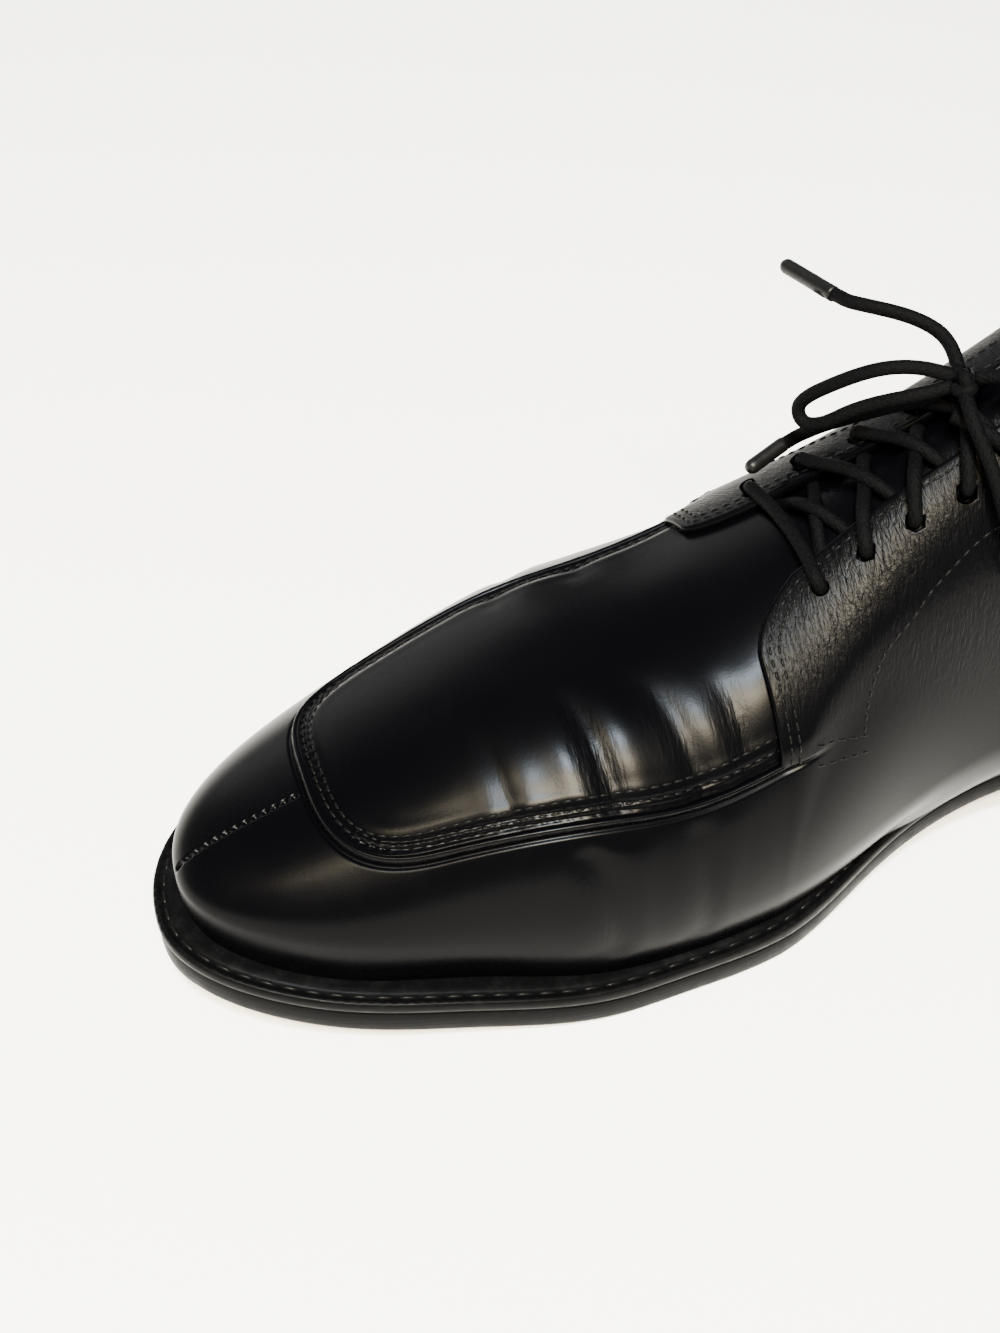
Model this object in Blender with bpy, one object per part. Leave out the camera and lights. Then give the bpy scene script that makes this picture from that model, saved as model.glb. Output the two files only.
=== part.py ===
"""Split toe derby shoe for the right foot, in metres, +Z up, toe towards +Y, inner side towards -X.

The upper is worked out from one last: a table of sections along the foot gives its widths,
its height and its bottom edge, and a superellipse dome joins them. Sole, welt, insole, heel,
tongue and laces take their shapes from the same last.
"""
import math

import bmesh
import bpy
import numpy as np
from mathutils import Vector

MM = 0.001
FRAME_NAME = "shoe_frame"

# The last, one row for each section. y is the distance from the heel, med and lat the widest
# places of the inner and outer side, spine the middle line, crown the height of the dome, seat the
# height of the upper's bottom edge and sole that of the walking side. rise is how far the widest
# line lies above the seat, tuck how far the bottom edge lies inside it, edge how far the sole
# stands out from it. plump is the exponent of the section, seam the apron seam's place.
LAST_COLUMNS = ("y med lat spine crown seat sole rise_med rise_lat tuck_med tuck_lat"
                " edge_med edge_lat plump seam_med seam_lat").split()
LAST_ROWS = [
    #  y    med    lat  spine crown  seat  sole  rise       tuck      edge      plump  seam
    [0,   -31.0, 32.0,  0.0, 165.0, 34.5, 25.0, 20.0, 20.0, 2.5, 2.5, 1.5, 1.5, 2.10, -24.0, 24.0],
    [35,  -32.5, 33.5,  0.0, 163.0, 33.5, 24.8, 20.0, 20.0, 2.0, 3.0, 1.5, 1.5, 2.10, -24.0, 24.0],
    [60,  -32.5, 34.5,  0.0, 153.0, 31.5, 22.5, 20.0, 20.0, 2.5, 3.0, 0.3, 1.8, 2.10, -24.0, 24.0],
    [90,  -29.5, 36.0, -1.5, 135.0, 26.6, 17.3, 19.0, 18.0, 6.0, 3.5, -3.5, 2.0, 2.05, -24.0, 26.0],
    [120, -27.5, 39.0, -3.5, 113.5, 19.6, 10.2, 17.0, 16.0, 7.5, 4.0, -5.5, 2.5, 2.00, -26.0, 28.0],
    [150, -32.8, 44.0, -4.5, 93.5,  13.6, 4.0,  14.5, 14.0, 4.8, 3.5, -2.8, 4.0, 2.00, -30.5, 29.0],
    [175, -40.9, 49.0, -4.2, 76.0,  10.4, 0.2,  13.0, 12.0, 3.0, 3.0, 0.8, 4.5, 2.08, -34.5, 27.5],
    [200, -44.2, 51.8, -4.5, 65.4,  9.6,  -0.5, 12.3, 11.0, 2.0, 2.5, 1.8, 5.0, 2.20, -37.0, 26.0],
    [220, -44.0, 48.3, -4.6, 61.7,  10.1, 0.4,  11.5, 10.0, 1.5, 2.5, 3.5, 5.5, 2.28, -35.7, 25.6],
    [245, -40.6, 41.7, -5.3, 54.4,  12.3, 2.7,  10.4, 9.0,  1.5, 2.5, 5.0, 5.5, 2.30, -31.0, 23.8],
    [270, -39.6, 38.0, -6.7, 46.4,  13.9, 4.3,  10.2, 9.0,  1.0, 2.0, 4.9, 5.5, 2.30, -27.8, 22.0],
    [297, -37.0, 33.4, -7.7, 42.1,  17.1, 7.5,  9.4,  9.4,  1.5, 1.5, 5.0, 5.0, 2.32, -29.6, 23.3],
]
LAST_LENGTH = 297.0
Y_HEEL_CAP = 35.0
Y_TOE_CAP = 215.0

# The apron seam's rounded front.
Y_APRON_CAP = 246.0
Y_APRON_FRONT = 269.0
APRON_PLUMP = 3.1

# The throat: the facings' inner edges and the height of the collar's edge.
THROAT_ROWS = [
    # y    med    lat
    [104, -9.0,  0.8],
    [130, -9.5,  1.0],
    [145, -10.0, 2.4],
    [160, -10.2, 7.6],
    [170, -11.4, 10.8],
    [185, -11.4, 11.4],
]
COLLAR_ROWS = [
    # y   height
    [0,   101.0],
    [15,  97.5],
    [35,  91.0],
    [60,  86.5],
    [78,  90.0],
    [92,  101.0],
    [104, 124.0],
    [112, 150.0],
]
Y_COLLAR_ENDS = 112.0

# The facings' front edge lies over the apron and turns back round a corner at the throat.
Y_FLAP = 182.0
CORNER_DEPTH = 12.0
CORNER_START = 11.5
CORNER_WIDTH = {-1: 11.0, 1: 5.0}
CORNER_POWER = {-1: 2.2, 1: 1.6}
X_THROAT_MIDDLE = 0.2

WALL = 2.2
APRON_LIFT = 0.7
APRON_WALL = 2.2
RIDGE_LIFT = 1.4
FLAP_LIFT = 2.5
FLAP_CLEARANCE = 0.25
SPLIT_LIFT = 1.0
GAP = 0.3

OUTSOLE_THICKNESS = 6.2
OUTSOLE_INSET = 0.5
WELT_SHELF = 4.5
INSOLE_THICKNESS = 2.4
Y_HEEL_BREAST = 62.0
TOP_LIFT_THICKNESS = 6.0

TONGUE_THICKNESS = 1.8
TONGUE_OVERLAP = 10.0
TONGUE_DEPTH = 0.45
TONGUE_APRON_DEPTH = 2.3
Y_TONGUE_FRONT = 192.0
Y_TONGUE_TOP = 95.0

EYELET_ROWS_Y = [168.5, 159.5, 150.5, 141.0, 131.5]
EYELET_INSET = {-1: 4.8, 1: 4.0}
EYELET_RADIUS = 1.7
LACE_RADIUS = 1.4
LACE_CLEARANCE = 0.35


def spline(xs, ys):
    """A natural cubic spline through the rows, held level beyond both ends."""
    xs = np.asarray(xs, float)
    ys = np.asarray(ys, float)
    count = len(xs)
    step = np.diff(xs)
    matrix = np.eye(count)
    right = np.zeros(count)
    for i in range(1, count - 1):
        matrix[i, i - 1:i + 2] = step[i - 1], 2 * (step[i - 1] + step[i]), step[i]
        right[i] = 6 * ((ys[i + 1] - ys[i]) / step[i] - (ys[i] - ys[i - 1]) / step[i - 1])
    bend = np.linalg.solve(matrix, right)

    def value(x):
        x = np.clip(np.asarray(x, float), xs[0], xs[-1])
        i = np.clip(np.searchsorted(xs, x) - 1, 0, count - 2)
        a = (xs[i + 1] - x) / step[i]
        b = (x - xs[i]) / step[i]
        curve = ((a ** 3 - a) * bend[i] + (b ** 3 - b) * bend[i + 1]) * step[i] ** 2 / 6
        return a * ys[i] + b * ys[i + 1] + curve

    return value


def columns(rows, names):
    table = np.array(rows, float)
    return {name: spline(table[:, 0], table[:, i]) for i, name in enumerate(names) if i}


LAST = columns(LAST_ROWS, LAST_COLUMNS)
THROAT = columns(THROAT_ROWS, ["y", "med", "lat"])
COLLAR = columns(COLLAR_ROWS, ["y", "height"])["height"]


def side_value(name, y, side):
    """A column that has one value for the inner side (-1) and one for the outer side (1)."""
    return LAST[name + ("_med" if side < 0 else "_lat")](y)


def half_width(y, side):
    edge = LAST["med"](y) if side < 0 else LAST["lat"](y)
    return np.abs(edge - LAST["spine"](y))


def facing_edge(y, side):
    return THROAT["med"](y) if side < 0 else THROAT["lat"](y)


def smooth(x):
    x = np.clip(x, 0, 1)
    return x * x * (3 - 2 * x)


# A place round the outline is a side and a station: 0 at the heel's back, 1 where the heel's curve
# ends, 2 where the toe's curve starts and 3 at the tip.
def straight_station(y):
    return 1 + (y - Y_HEEL_CAP) / (Y_TOE_CAP - Y_HEEL_CAP)


def station_y(station):
    return Y_HEEL_CAP + (station - 1) * (Y_TOE_CAP - Y_HEEL_CAP)


def plan(side, station, share):
    """The plan position at a share of the way from the middle (0) to the widest line (1)."""
    share = np.asarray(share, float)
    if station < 1:
        angle = station * math.pi / 2
        power = 2 / LAST["plump"](Y_HEEL_CAP)
        across = share * max(math.sin(angle), 0.0) ** power
        y = Y_HEEL_CAP * (1 - share * max(math.cos(angle), 0.0) ** power)
    elif station > 2:
        angle = (station - 2) * math.pi / 2
        power = 2 / LAST["plump"](Y_TOE_CAP)
        across = share * max(math.cos(angle), 0.0) ** power
        y = Y_TOE_CAP + (LAST_LENGTH - Y_TOE_CAP) * share * max(math.sin(angle), 0.0) ** power
    else:
        across = share
        y = np.full_like(share, station_y(station))
    x = LAST["spine"](y) + side * across * half_width(y, side)
    return x, y


def corner_pull(x, side):
    """How far the throat's corner pulls a line of the flap's front edge back."""
    reach = (np.abs(x - X_THROAT_MIDDLE) - CORNER_START) / CORNER_WIDTH[side]
    return CORNER_DEPTH * (1 - np.clip(reach, 0, 1)) ** CORNER_POWER[side]


def pull_share(y):
    return np.where(y > Y_FLAP, np.exp(-(y - Y_FLAP) / 14), np.exp(-(Y_FLAP - y) / 25))


def dome_height(x, y):
    """Height of the last's surface over a plan position."""
    x = np.asarray(x, float)
    y = np.asarray(y, float)
    spine = LAST["spine"](y)
    inner = x < spine
    width = np.where(inner, half_width(y, -1), half_width(y, 1))
    ahead = np.clip((y - Y_TOE_CAP) / (LAST_LENGTH - Y_TOE_CAP), 0, None)
    behind = np.clip((Y_HEEL_CAP - y) / Y_HEEL_CAP, 0, None)
    plump = np.where(ahead > 0, LAST["plump"](Y_TOE_CAP),
                     np.where(behind > 0, LAST["plump"](Y_HEEL_CAP), LAST["plump"](y)))
    across = np.abs(x - spine) / width
    share = np.clip((across ** plump + ahead ** plump + behind ** plump) ** (1 / plump), 1e-6, 1)
    foot_y = np.where(ahead > 0, Y_TOE_CAP + (y - Y_TOE_CAP) / share,
                      np.where(behind > 0, Y_HEEL_CAP - (Y_HEEL_CAP - y) / share, y))
    rise = np.where(inner, LAST["rise_med"](foot_y), LAST["rise_lat"](foot_y))
    low = LAST["seat"](foot_y) + rise
    return low + (LAST["crown"](y) - low) * np.sqrt(np.clip(1 - share ** plump, 0, 1))


def on_dome(x, y, lift):
    """A point that lies a given distance off the last's surface."""
    reach = 0.5
    slope_x = (dome_height(x + reach, y) - dome_height(x - reach, y)) / (2 * reach)
    slope_y = (dome_height(x, y + reach) - dome_height(x, y - reach)) / (2 * reach)
    normal = np.stack([-slope_x, -slope_y, np.ones_like(slope_x)], -1)
    normal /= np.linalg.norm(normal, axis=-1, keepdims=True)
    return np.stack([x, y, dome_height(x, y)], -1) + normal * lift


def rib(side, station, samples=121):
    """One line over the last, from its bottom edge up to the middle, as closely spaced points."""
    foot_x, foot_y = plan(side, station, 1.0)
    seat = LAST["seat"](foot_y)
    low = seat + side_value("rise", foot_y, side)
    tuck = side_value("tuck", foot_y, side)
    middle_y = np.clip(foot_y, Y_HEEL_CAP, Y_TOE_CAP)
    middle = np.array([LAST["spine"](middle_y), middle_y])
    foot = np.array([foot_x, foot_y])
    inward = (middle - foot) / np.linalg.norm(middle - foot)

    q = np.linspace(0, 1, 25)[:-1]
    tucked = foot + np.outer(tuck * (1 - q) ** 2, inward)
    lower = np.column_stack([tucked, seat + (low - seat) * q])

    plump = LAST["plump"](np.clip(foot_y, Y_HEEL_CAP, Y_TOE_CAP))
    angle = np.linspace(0, math.pi / 2, samples - 24)
    share = np.cos(angle).clip(0, 1) ** (2 / plump)
    x, y = plan(side, station, share)
    if 1 <= station <= 2:
        y = y - corner_pull(x, side) * pull_share(y)
        x = LAST["spine"](y) + side * share * half_width(y, side)
    height = low + (LAST["crown"](y) - low) * np.sin(angle)
    return np.vstack([lower, np.column_stack([x, y, height])])


def path_length(points):
    steps = np.linalg.norm(np.diff(points, axis=0), axis=1)
    return np.concatenate([[0], np.cumsum(steps)])


def crossing(lengths, values):
    """The length along a rib where the values first turn negative."""
    below = np.nonzero(values < 0)[0]
    if len(below) == 0:
        return lengths[-1]
    i = below[0]
    if i == 0:
        return lengths[0]
    share = values[i - 1] / (values[i - 1] - values[i])
    return lengths[i - 1] + (lengths[i] - lengths[i - 1]) * share


def apron_field(points):
    """Positive outside the apron seam, negative inside it."""
    x, y = points[:, 0], points[:, 1]
    left, right = LAST["seam_med"](y), LAST["seam_lat"](y)
    across = np.abs(x - (left + right) / 2) / ((right - left) / 2)
    ahead = np.clip((y - Y_APRON_CAP) / (Y_APRON_FRONT - Y_APRON_CAP), 0, None)
    return across ** APRON_PLUMP + ahead ** APRON_PLUMP - 1


SIDE_SHARES = [0.0, 0.07, 0.18, 0.36, 0.58, 0.8, 1.0]
RIDGE_STEPS = [(-1.6, 0.0), (-0.9, 1.0), (0.7, 1.0), (1.8, 0.0)]
EDGE_SHARES = [0.35, 0.7, 1.0]
THROAT_SHARES = [0.35, 0.7, 1.0]


def levels_to_edge(points, lengths, side, start, edge):
    """Places between the apron seam and the facing's edge, two of them at the tongue's side."""
    beyond = side * (points[:, 0] - facing_edge(points[:, 1], side)) - TONGUE_OVERLAP
    span = edge - start
    outside = np.clip(crossing(lengths, beyond - 3.4), start + span * 0.15, start + span * 0.5)
    inside = np.clip(crossing(lengths, beyond - 0.9), outside + span * 0.1, start + span * 0.65)
    return [outside, inside] + [inside + (edge - inside) * share for share in EDGE_SHARES]


def front_levels(side, station):
    """Points of a rib of the vamp and the apron, with the apron lift and the ridge of each."""
    points = rib(side, station)
    lengths = path_length(points)
    seam = crossing(lengths, apron_field(points))
    if station <= 2:
        edge = crossing(lengths, side * (points[:, 0] - facing_edge(points[:, 1], side)))
    else:
        edge = seam + (lengths[-1] - seam) * 0.55
    first = seam + RIDGE_STEPS[0][0]
    last = seam + RIDGE_STEPS[-1][0]
    places = [first * s for s in SIDE_SHARES]
    ridge = [0.0] * len(places)
    apron = [0.0] * len(places)
    for step, height in RIDGE_STEPS[1:]:
        places.append(seam + step)
        ridge.append(height)
        apron.append(smooth((step - RIDGE_STEPS[0][0]) / (last - first)))
    places += levels_to_edge(points, lengths, side, last, edge)
    for s in THROAT_SHARES:
        places.append(edge + (lengths[-1] - edge) * s)
    inside = len(places) - len(ridge)
    ridge += [0.0] * inside
    apron += [1.0] * inside
    base = np.column_stack([np.interp(places, lengths, points[:, i]) for i in range(3)])
    return base, np.array(ridge), np.array(apron)


EDGE_LEVEL = len(SIDE_SHARES) + len(RIDGE_STEPS) - 1 + 2 + len(EDGE_SHARES) - 1


def rear_levels(side, station):
    """Points of a rib of the quarters, up to the facing's edge or the collar."""
    points = rib(side, station)
    lengths = path_length(points)
    top = lengths[-1]
    if station >= 1:
        top = crossing(lengths, side * (points[:, 0] - facing_edge(points[:, 1], side)))
    if station_y(station) < Y_COLLAR_ENDS:
        top = min(top, crossing(lengths, COLLAR(points[:, 1]) - points[:, 2]))
    seam = top * 0.6
    if station >= 1:
        seam = float(np.clip(crossing(lengths, apron_field(points)), top * 0.5, top * 0.72))
    first = seam + RIDGE_STEPS[0][0]
    last = seam + RIDGE_STEPS[-1][0]
    places = [first * s for s in SIDE_SHARES]
    places += [seam + step for step, height in RIDGE_STEPS[1:]]
    places += levels_to_edge(points, lengths, side, last, top)
    return np.column_stack([np.interp(places, lengths, points[:, i]) for i in range(3)])


def grid_normals(grid):
    """Outward normals of a grid of points [rib, level]."""
    along = np.gradient(grid, axis=0)
    up = np.gradient(grid, axis=1)
    normal = np.cross(along, up)
    length = np.linalg.norm(normal, axis=2, keepdims=True)
    return normal / np.maximum(length, 1e-9)


class Shell:
    """Gathers faces by their corner points and welds them into one closed mesh."""

    def __init__(self):
        self.points = []
        self.faces = []

    def face(self, *corners):
        start = len(self.points)
        self.points.extend(corners)
        self.faces.append(list(range(start, start + len(corners))))

    def strip(self, low, high):
        for i in range(len(low) - 1):
            self.face(low[i], low[i + 1], high[i + 1], high[i])

    def sheet(self, grid):
        for low, high in zip(grid[:-1], grid[1:]):
            self.strip(low, high)

    def mesh(self, name):
        work = bmesh.new()
        verts = [work.verts.new([float(v) * MM for v in p]) for p in self.points]
        for face in self.faces:
            work.faces.new([verts[i] for i in face])
        bmesh.ops.remove_doubles(work, verts=work.verts, dist=0.00002)
        bmesh.ops.dissolve_degenerate(work, edges=work.edges, dist=0.000001)
        bmesh.ops.recalc_face_normals(work, faces=work.faces)
        bmesh.ops.triangulate(work, faces=work.faces)
        data = bpy.data.meshes.new(name)
        work.to_mesh(data)
        work.free()
        return data


def material(name, color, roughness, metallic=0.0):
    mat = bpy.data.materials.new(name)
    mat.use_nodes = True
    shader = mat.node_tree.nodes["Principled BSDF"]
    shader.inputs["Base Color"].default_value = (*color, 1.0)
    shader.inputs["Roughness"].default_value = roughness
    shader.inputs["Metallic"].default_value = metallic
    return mat


def add_frame():
    """The empty that every piece hangs on: it puts the middle of the sole's box at the origin."""
    ring, outward = outline("edge")
    frame = bpy.data.objects.new(FRAME_NAME, None)
    frame.location = [-(ring[:, i].min() + ring[:, i].max()) / 2 * MM for i in (0, 1)] + [0.0]
    bpy.context.scene.collection.objects.link(frame)


def add_object(name, data, mat, collection):
    obj = bpy.data.objects.new(name, data)
    if mat:
        data.materials.append(mat)
    obj.parent = bpy.data.objects[FRAME_NAME]
    collection.objects.link(obj)
    return obj


def add_solid(name, shell, mat, collection):
    data = shell.mesh(name)
    data.shade_smooth()
    data.set_sharp_from_angle(angle=math.radians(40))
    return add_object(name, data, mat, collection)


FRONT_Y = [Y_FLAP, 186.5, 192.0, 198.0, 204.0, 210.0, Y_TOE_CAP]
TOE_ANGLES = [12, 25, 38, 50, 61, 71, 80, 86.2, 88.6]
REAR_Y = [Y_FLAP, 177.0, 171.0, 163.0, 154.0, 145.0, 136.0, 127.0, 118.0, 111.0, 107.5, 104.0,
          99.0, 92.0, 83.0, 72.0, 60.0, 47.0, Y_HEEL_CAP]
HEEL_ANGLES = [72, 54, 36, 18]
SPLIT_PROFILE = {86.2: 0.0, 88.6: 1.0, 90: 0.25}


def front_ring():
    """Side and station of each rib from the inner flap, round the toe, to the outer flap."""
    inner = [(-1, straight_station(y), None) for y in FRONT_Y]
    inner += [(-1, 2 + a / 90, a) for a in TOE_ANGLES]
    outer = [(1, station, a) for side, station, a in reversed(inner)]
    return inner + [(-1, 3.0, 90)] + outer


def rear_ring():
    """Side and station of each rib from the outer flap, round the heel, to the inner flap."""
    outer = [(1, straight_station(y)) for y in REAR_Y]
    outer += [(1, a / 90) for a in HEEL_ANGLES]
    inner = [(-1, station) for side, station in reversed(outer)]
    return outer + [(1, 0.0)] + inner


def foot_inset(grid, distance):
    """The bottom edge moved straight inwards, so that the wall stands on a level foot."""
    edge = grid[:, 0]
    run = np.gradient(edge, axis=0)
    inward = np.column_stack([run[:, 1], -run[:, 0], np.zeros(len(run))])
    inward /= np.linalg.norm(inward, axis=1, keepdims=True)
    return edge + inward * distance


def vamp_surfaces():
    ring = front_ring()
    rows = [front_levels(side, station) for side, station, angle in ring]
    grid = np.array([row[0] for row in rows])
    ridge = np.array([row[1] for row in rows])
    apron = np.array([row[2] for row in rows])
    normals = -grid_normals(grid)
    normals[:, -1] = (0, 0, 1)
    split = np.array([SPLIT_PROFILE.get(angle, 0.0) for side, station, angle in ring])
    wall_levels = len(SIDE_SHARES)
    lift = RIDGE_LIFT * ridge + APRON_LIFT * apron * (1 - ridge)
    lift[:, 1:wall_levels] += SPLIT_LIFT * split[:, None]
    outer = grid + normals * lift[..., None]
    depth = (APRON_LIFT - APRON_WALL) * apron - WALL * (1 - apron)
    inner = grid + normals * depth[..., None]
    inner[:, 0] = foot_inset(grid, WALL)
    return outer, inner


def quarter_surfaces():
    ring = rear_ring()
    grid = np.array([rear_levels(side, station) for side, station in ring])
    normals = -grid_normals(grid)
    # The toe end of this family shares the vamp's last rib, so it takes that rib's normals.
    lift = np.zeros(grid.shape[:2])
    depth = np.full(grid.shape[:2], -WALL)
    for i, (side, station) in enumerate(ring):
        if station < 1:
            continue
        y0 = station_y(station)
        off_edge = side * (grid[i, :, 0] - facing_edge(grid[i, :, 1], side))
        fade = smooth((y0 - 80) / 10)
        start = 12 + 16 * math.exp(-(Y_FLAP - y0) / 9)
        lift[i] = FLAP_LIFT * (1 - smooth((off_edge - start) / 8)) * fade
        clear = 1 - smooth((off_edge - TONGUE_OVERLAP - 0.9) / 2.5)
        depth[i] = -WALL + (WALL + FLAP_CLEARANCE) * clear * fade
    lift[:, 0] = 0
    return grid, normals, lift, depth


def build_upper(mat, collection):
    """One hollow wall: side walls, raised apron, split seam and facings, open above and below."""
    outer, inner = vamp_surfaces()
    grid, normals, lift, depth = quarter_surfaces()
    levels = EDGE_LEVEL + 1
    front_grid = np.array([front_levels(side, station)[0] for side, station, a in front_ring()])
    front_normals = -grid_normals(front_grid)
    for rear, front in ((0, -1), (-1, 0)):
        normals[rear] = front_normals[front, :levels]
    flap_out = grid + normals * lift[..., None]
    flap_in = grid + normals * depth[..., None]
    flap_in[:, 0] = foot_inset(grid, WALL)
    for rear, front in ((0, -1), (-1, 0)):
        wall = len(SIDE_SHARES)
        flap_out[rear, :wall] = outer[front, :wall]
        flap_in[rear, :wall] = inner[front, :wall]
    shell = Shell()
    shell.sheet(outer)
    shell.sheet(inner)
    shell.sheet(flap_out)
    shell.sheet(flap_in)
    shell.strip(outer[:, 0], inner[:, 0])
    shell.strip(flap_out[:, 0], flap_in[:, 0])
    for rear, front in ((0, -1), (-1, 0)):
        shell.strip(outer[front, :levels], flap_out[rear])
        shell.strip(inner[front, :levels], flap_in[rear])
        # The edge of the apron at the throat meets the facing's edge at the corner.
        corner = [inner[front, EDGE_LEVEL], flap_in[rear, -1],
                  outer[front, EDGE_LEVEL], flap_out[rear, -1]]
        following = EDGE_LEVEL + 1
        shell.face(corner[0], corner[1], corner[2], outer[front, following],
                   inner[front, following])
        shell.strip(outer[front, following:], inner[front, following:])
        neighbour = 1 if rear == 0 else -2
        shell.face(corner[1], corner[2], corner[3], flap_out[neighbour, -1],
                   flap_in[neighbour, -1])
    shell.strip(flap_out[1:-1, -1], flap_in[1:-1, -1])
    return add_solid("upper", shell, mat, collection)


def outline(distance_name):
    """A closed ring of plan points: the sole's edge or the upper's bottom edge."""
    ring = []
    for side, station in full_ring():
        x, y = plan(side, station, 1.0)
        ring.append((float(x), float(y), side))
    ring = np.array(ring)
    run = np.roll(ring[:, :2], -1, 0) - np.roll(ring[:, :2], 1, 0)
    outward = np.column_stack([-run[:, 1], run[:, 0]])
    outward /= np.linalg.norm(outward, axis=1, keepdims=True)
    foot_y = ring[:, 1]
    if distance_name == "edge":
        med, lat = LAST["edge_med"](foot_y), LAST["edge_lat"](foot_y)
    else:
        med, lat = -LAST["tuck_med"](foot_y), -LAST["tuck_lat"](foot_y)
    middle = np.array([abs(s) < 0.5 for s in ring[:, 2]])
    distance = np.where(ring[:, 2] < 0, med, lat)
    distance = np.where(middle, (med + lat) / 2, distance)
    return ring[:, :2] + outward * distance[:, None], outward


def full_ring():
    """Side and station of every rib round the whole shoe; side 0 is the tip or the heel's back."""
    front = [(side, station) for side, station, angle in front_ring()]
    rear = rear_ring()
    ring = front + rear[1:-1]
    return [(0 if station in (0.0, 3.0) else side, station) for side, station in ring]


def middle_line(ring):
    """The point of the middle line that each rib runs to."""
    return np.array([np.array(plan(side, station, 0.0)) for side, station in ring])


def sole_height(y):
    return np.maximum(LAST["sole"](y), 0.0)


CAP_SHARES = [1.0, 0.7, 0.35, 0.0]


def cap_grid(ring, height, lift):
    """A surface across a closed outline, from its edge in to the middle line."""
    middle = middle_line(full_ring())
    closed = np.vstack([ring, ring[:1]])
    middle = np.vstack([middle, middle[:1]])
    rows = []
    for share in CAP_SHARES:
        flat = middle + (closed - middle) * share
        rows.append(np.column_stack([flat, height(flat[:, 1]) + lift]))
    return np.array(rows)


def closed_level(ring, height, lift):
    closed = np.vstack([ring, ring[:1]])
    return np.column_stack([closed, height(closed[:, 1]) + lift])


def build_outsole(mat, collection):
    edge, outward = outline("edge")
    ring = edge - outward * OUTSOLE_INSET
    under = cap_grid(ring, sole_height, 0.0)
    over = cap_grid(ring, sole_height, OUTSOLE_THICKNESS)
    shell = Shell()
    shell.sheet(under)
    shell.sheet(over)
    shell.strip(under[0], over[0])
    return add_solid("outsole", shell, mat, collection)


def welt_rings():
    edge, outward = outline("edge")
    foot, foot_outward = outline("tuck")
    return edge, foot - foot_outward * (WALL + WELT_SHELF)


def welt_bottom(y):
    return sole_height(y) + OUTSOLE_THICKNESS + GAP


def welt_top(y):
    return LAST["seat"](y) - GAP


def build_welt(mat, collection):
    """A flat ring all round the shoe, which the upper stands on."""
    edge, inside = welt_rings()
    shell = Shell()
    low_out = closed_level(edge, welt_bottom, 0.0)
    low_in = closed_level(inside, welt_bottom, 0.0)
    high_out = closed_level(edge, welt_top, 0.0)
    high_in = closed_level(inside, welt_top, 0.0)
    shell.strip(low_out, high_out)
    shell.strip(high_out, high_in)
    shell.strip(high_in, low_in)
    shell.strip(low_in, low_out)
    return add_solid("welt", shell, mat, collection)


def build_insole(mat, collection):
    """The footbed: its middle fills the welt's ring, its rim lies over the welt."""
    edge, inside = welt_rings()
    foot, foot_outward = outline("tuck")
    core = inside - foot_outward * GAP
    rim = foot - foot_outward * (WALL + GAP)
    shell = Shell()
    under = cap_grid(core, welt_bottom, 0.0)
    shoulder_in = closed_level(core, LAST["seat"], 0.05)
    shoulder_out = closed_level(rim, LAST["seat"], 0.05)
    over = cap_grid(rim, LAST["seat"], 0.05 + INSOLE_THICKNESS)
    shell.sheet(under)
    shell.strip(under[0], shoulder_in)
    shell.strip(shoulder_in, shoulder_out)
    shell.strip(shoulder_out, over[0])
    shell.sheet(over)
    return add_solid("insole", shell, mat, collection)


def heel_block(low, high, inset_low, inset_high):
    """A block under the heel seat, from the heel's back to its straight front."""
    ring = full_ring()
    edge, outward = outline("edge")
    start = straight_station(Y_HEEL_BREAST)
    keep = [i for i, (side, station) in enumerate(ring) if station < start]
    shell = Shell()
    grids = []
    for height, inset in ((low, inset_low), (high, inset_high)):
        rim = edge[keep] - outward[keep] * inset
        ends = []
        for side, share in ((1, 0), (-1, -1)):
            x, y = plan(side, start, 1.0)
            out = side * (side_value("edge", Y_HEEL_BREAST, side) - inset)
            ends.append([float(x) + out, Y_HEEL_BREAST])
        rim = np.vstack([ends[0], rim, ends[1]])
        middle = middle_line([(1, start)] + [ring[i] for i in keep] + [(-1, start)])
        rows = []
        for share in (1.0, 0.5, 0.0):
            flat = middle + (rim - middle) * share
            rows.append(np.column_stack([flat, height(flat[:, 1])]))
        grids.append(np.array(rows))
    under, over = grids
    shell.sheet(under)
    shell.sheet(over)
    shell.strip(under[0], over[0])
    shell.strip(under[:, 0], over[:, 0])
    shell.strip(under[:, -1], over[:, -1])
    return shell


def build_heel(mat, lift_mat, collection):
    top = TOP_LIFT_THICKNESS

    def ground(y):
        return np.zeros_like(y)

    lift = heel_block(ground, lambda y: ground(y) + top, 2.2, 1.9)
    base = heel_block(lambda y: ground(y) + top + GAP, lambda y: sole_height(y) - GAP, 1.9, 0.9)
    add_solid("top_lift", lift, lift_mat, collection)
    add_solid("heel_base", base, mat, collection)


def tongue_edges(y):
    """The tongue's two sides, with round corners at its top."""
    corner = np.clip((Y_TONGUE_TOP + 9 - y) / 9, 0, 1)
    shorten = 9 * (1 - np.sqrt(1 - corner ** 2))
    left = THROAT["med"](y) - TONGUE_OVERLAP + shorten
    right = THROAT["lat"](y) + TONGUE_OVERLAP - shorten
    return left, right


TONGUE_Y = [Y_TONGUE_FRONT, 187.5, 183.5, 179.5, 173.5, 169.0, 163.5, 155.0, 145.0, 135.0, 125.0,
            116.0, 109.0, 104.0, 100.0, 97.0, 95.6, Y_TONGUE_TOP + 0.05]
TONGUE_SHARES = [0.0, 0.18, 0.36, 0.5, 0.64, 0.82, 1.0]


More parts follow.
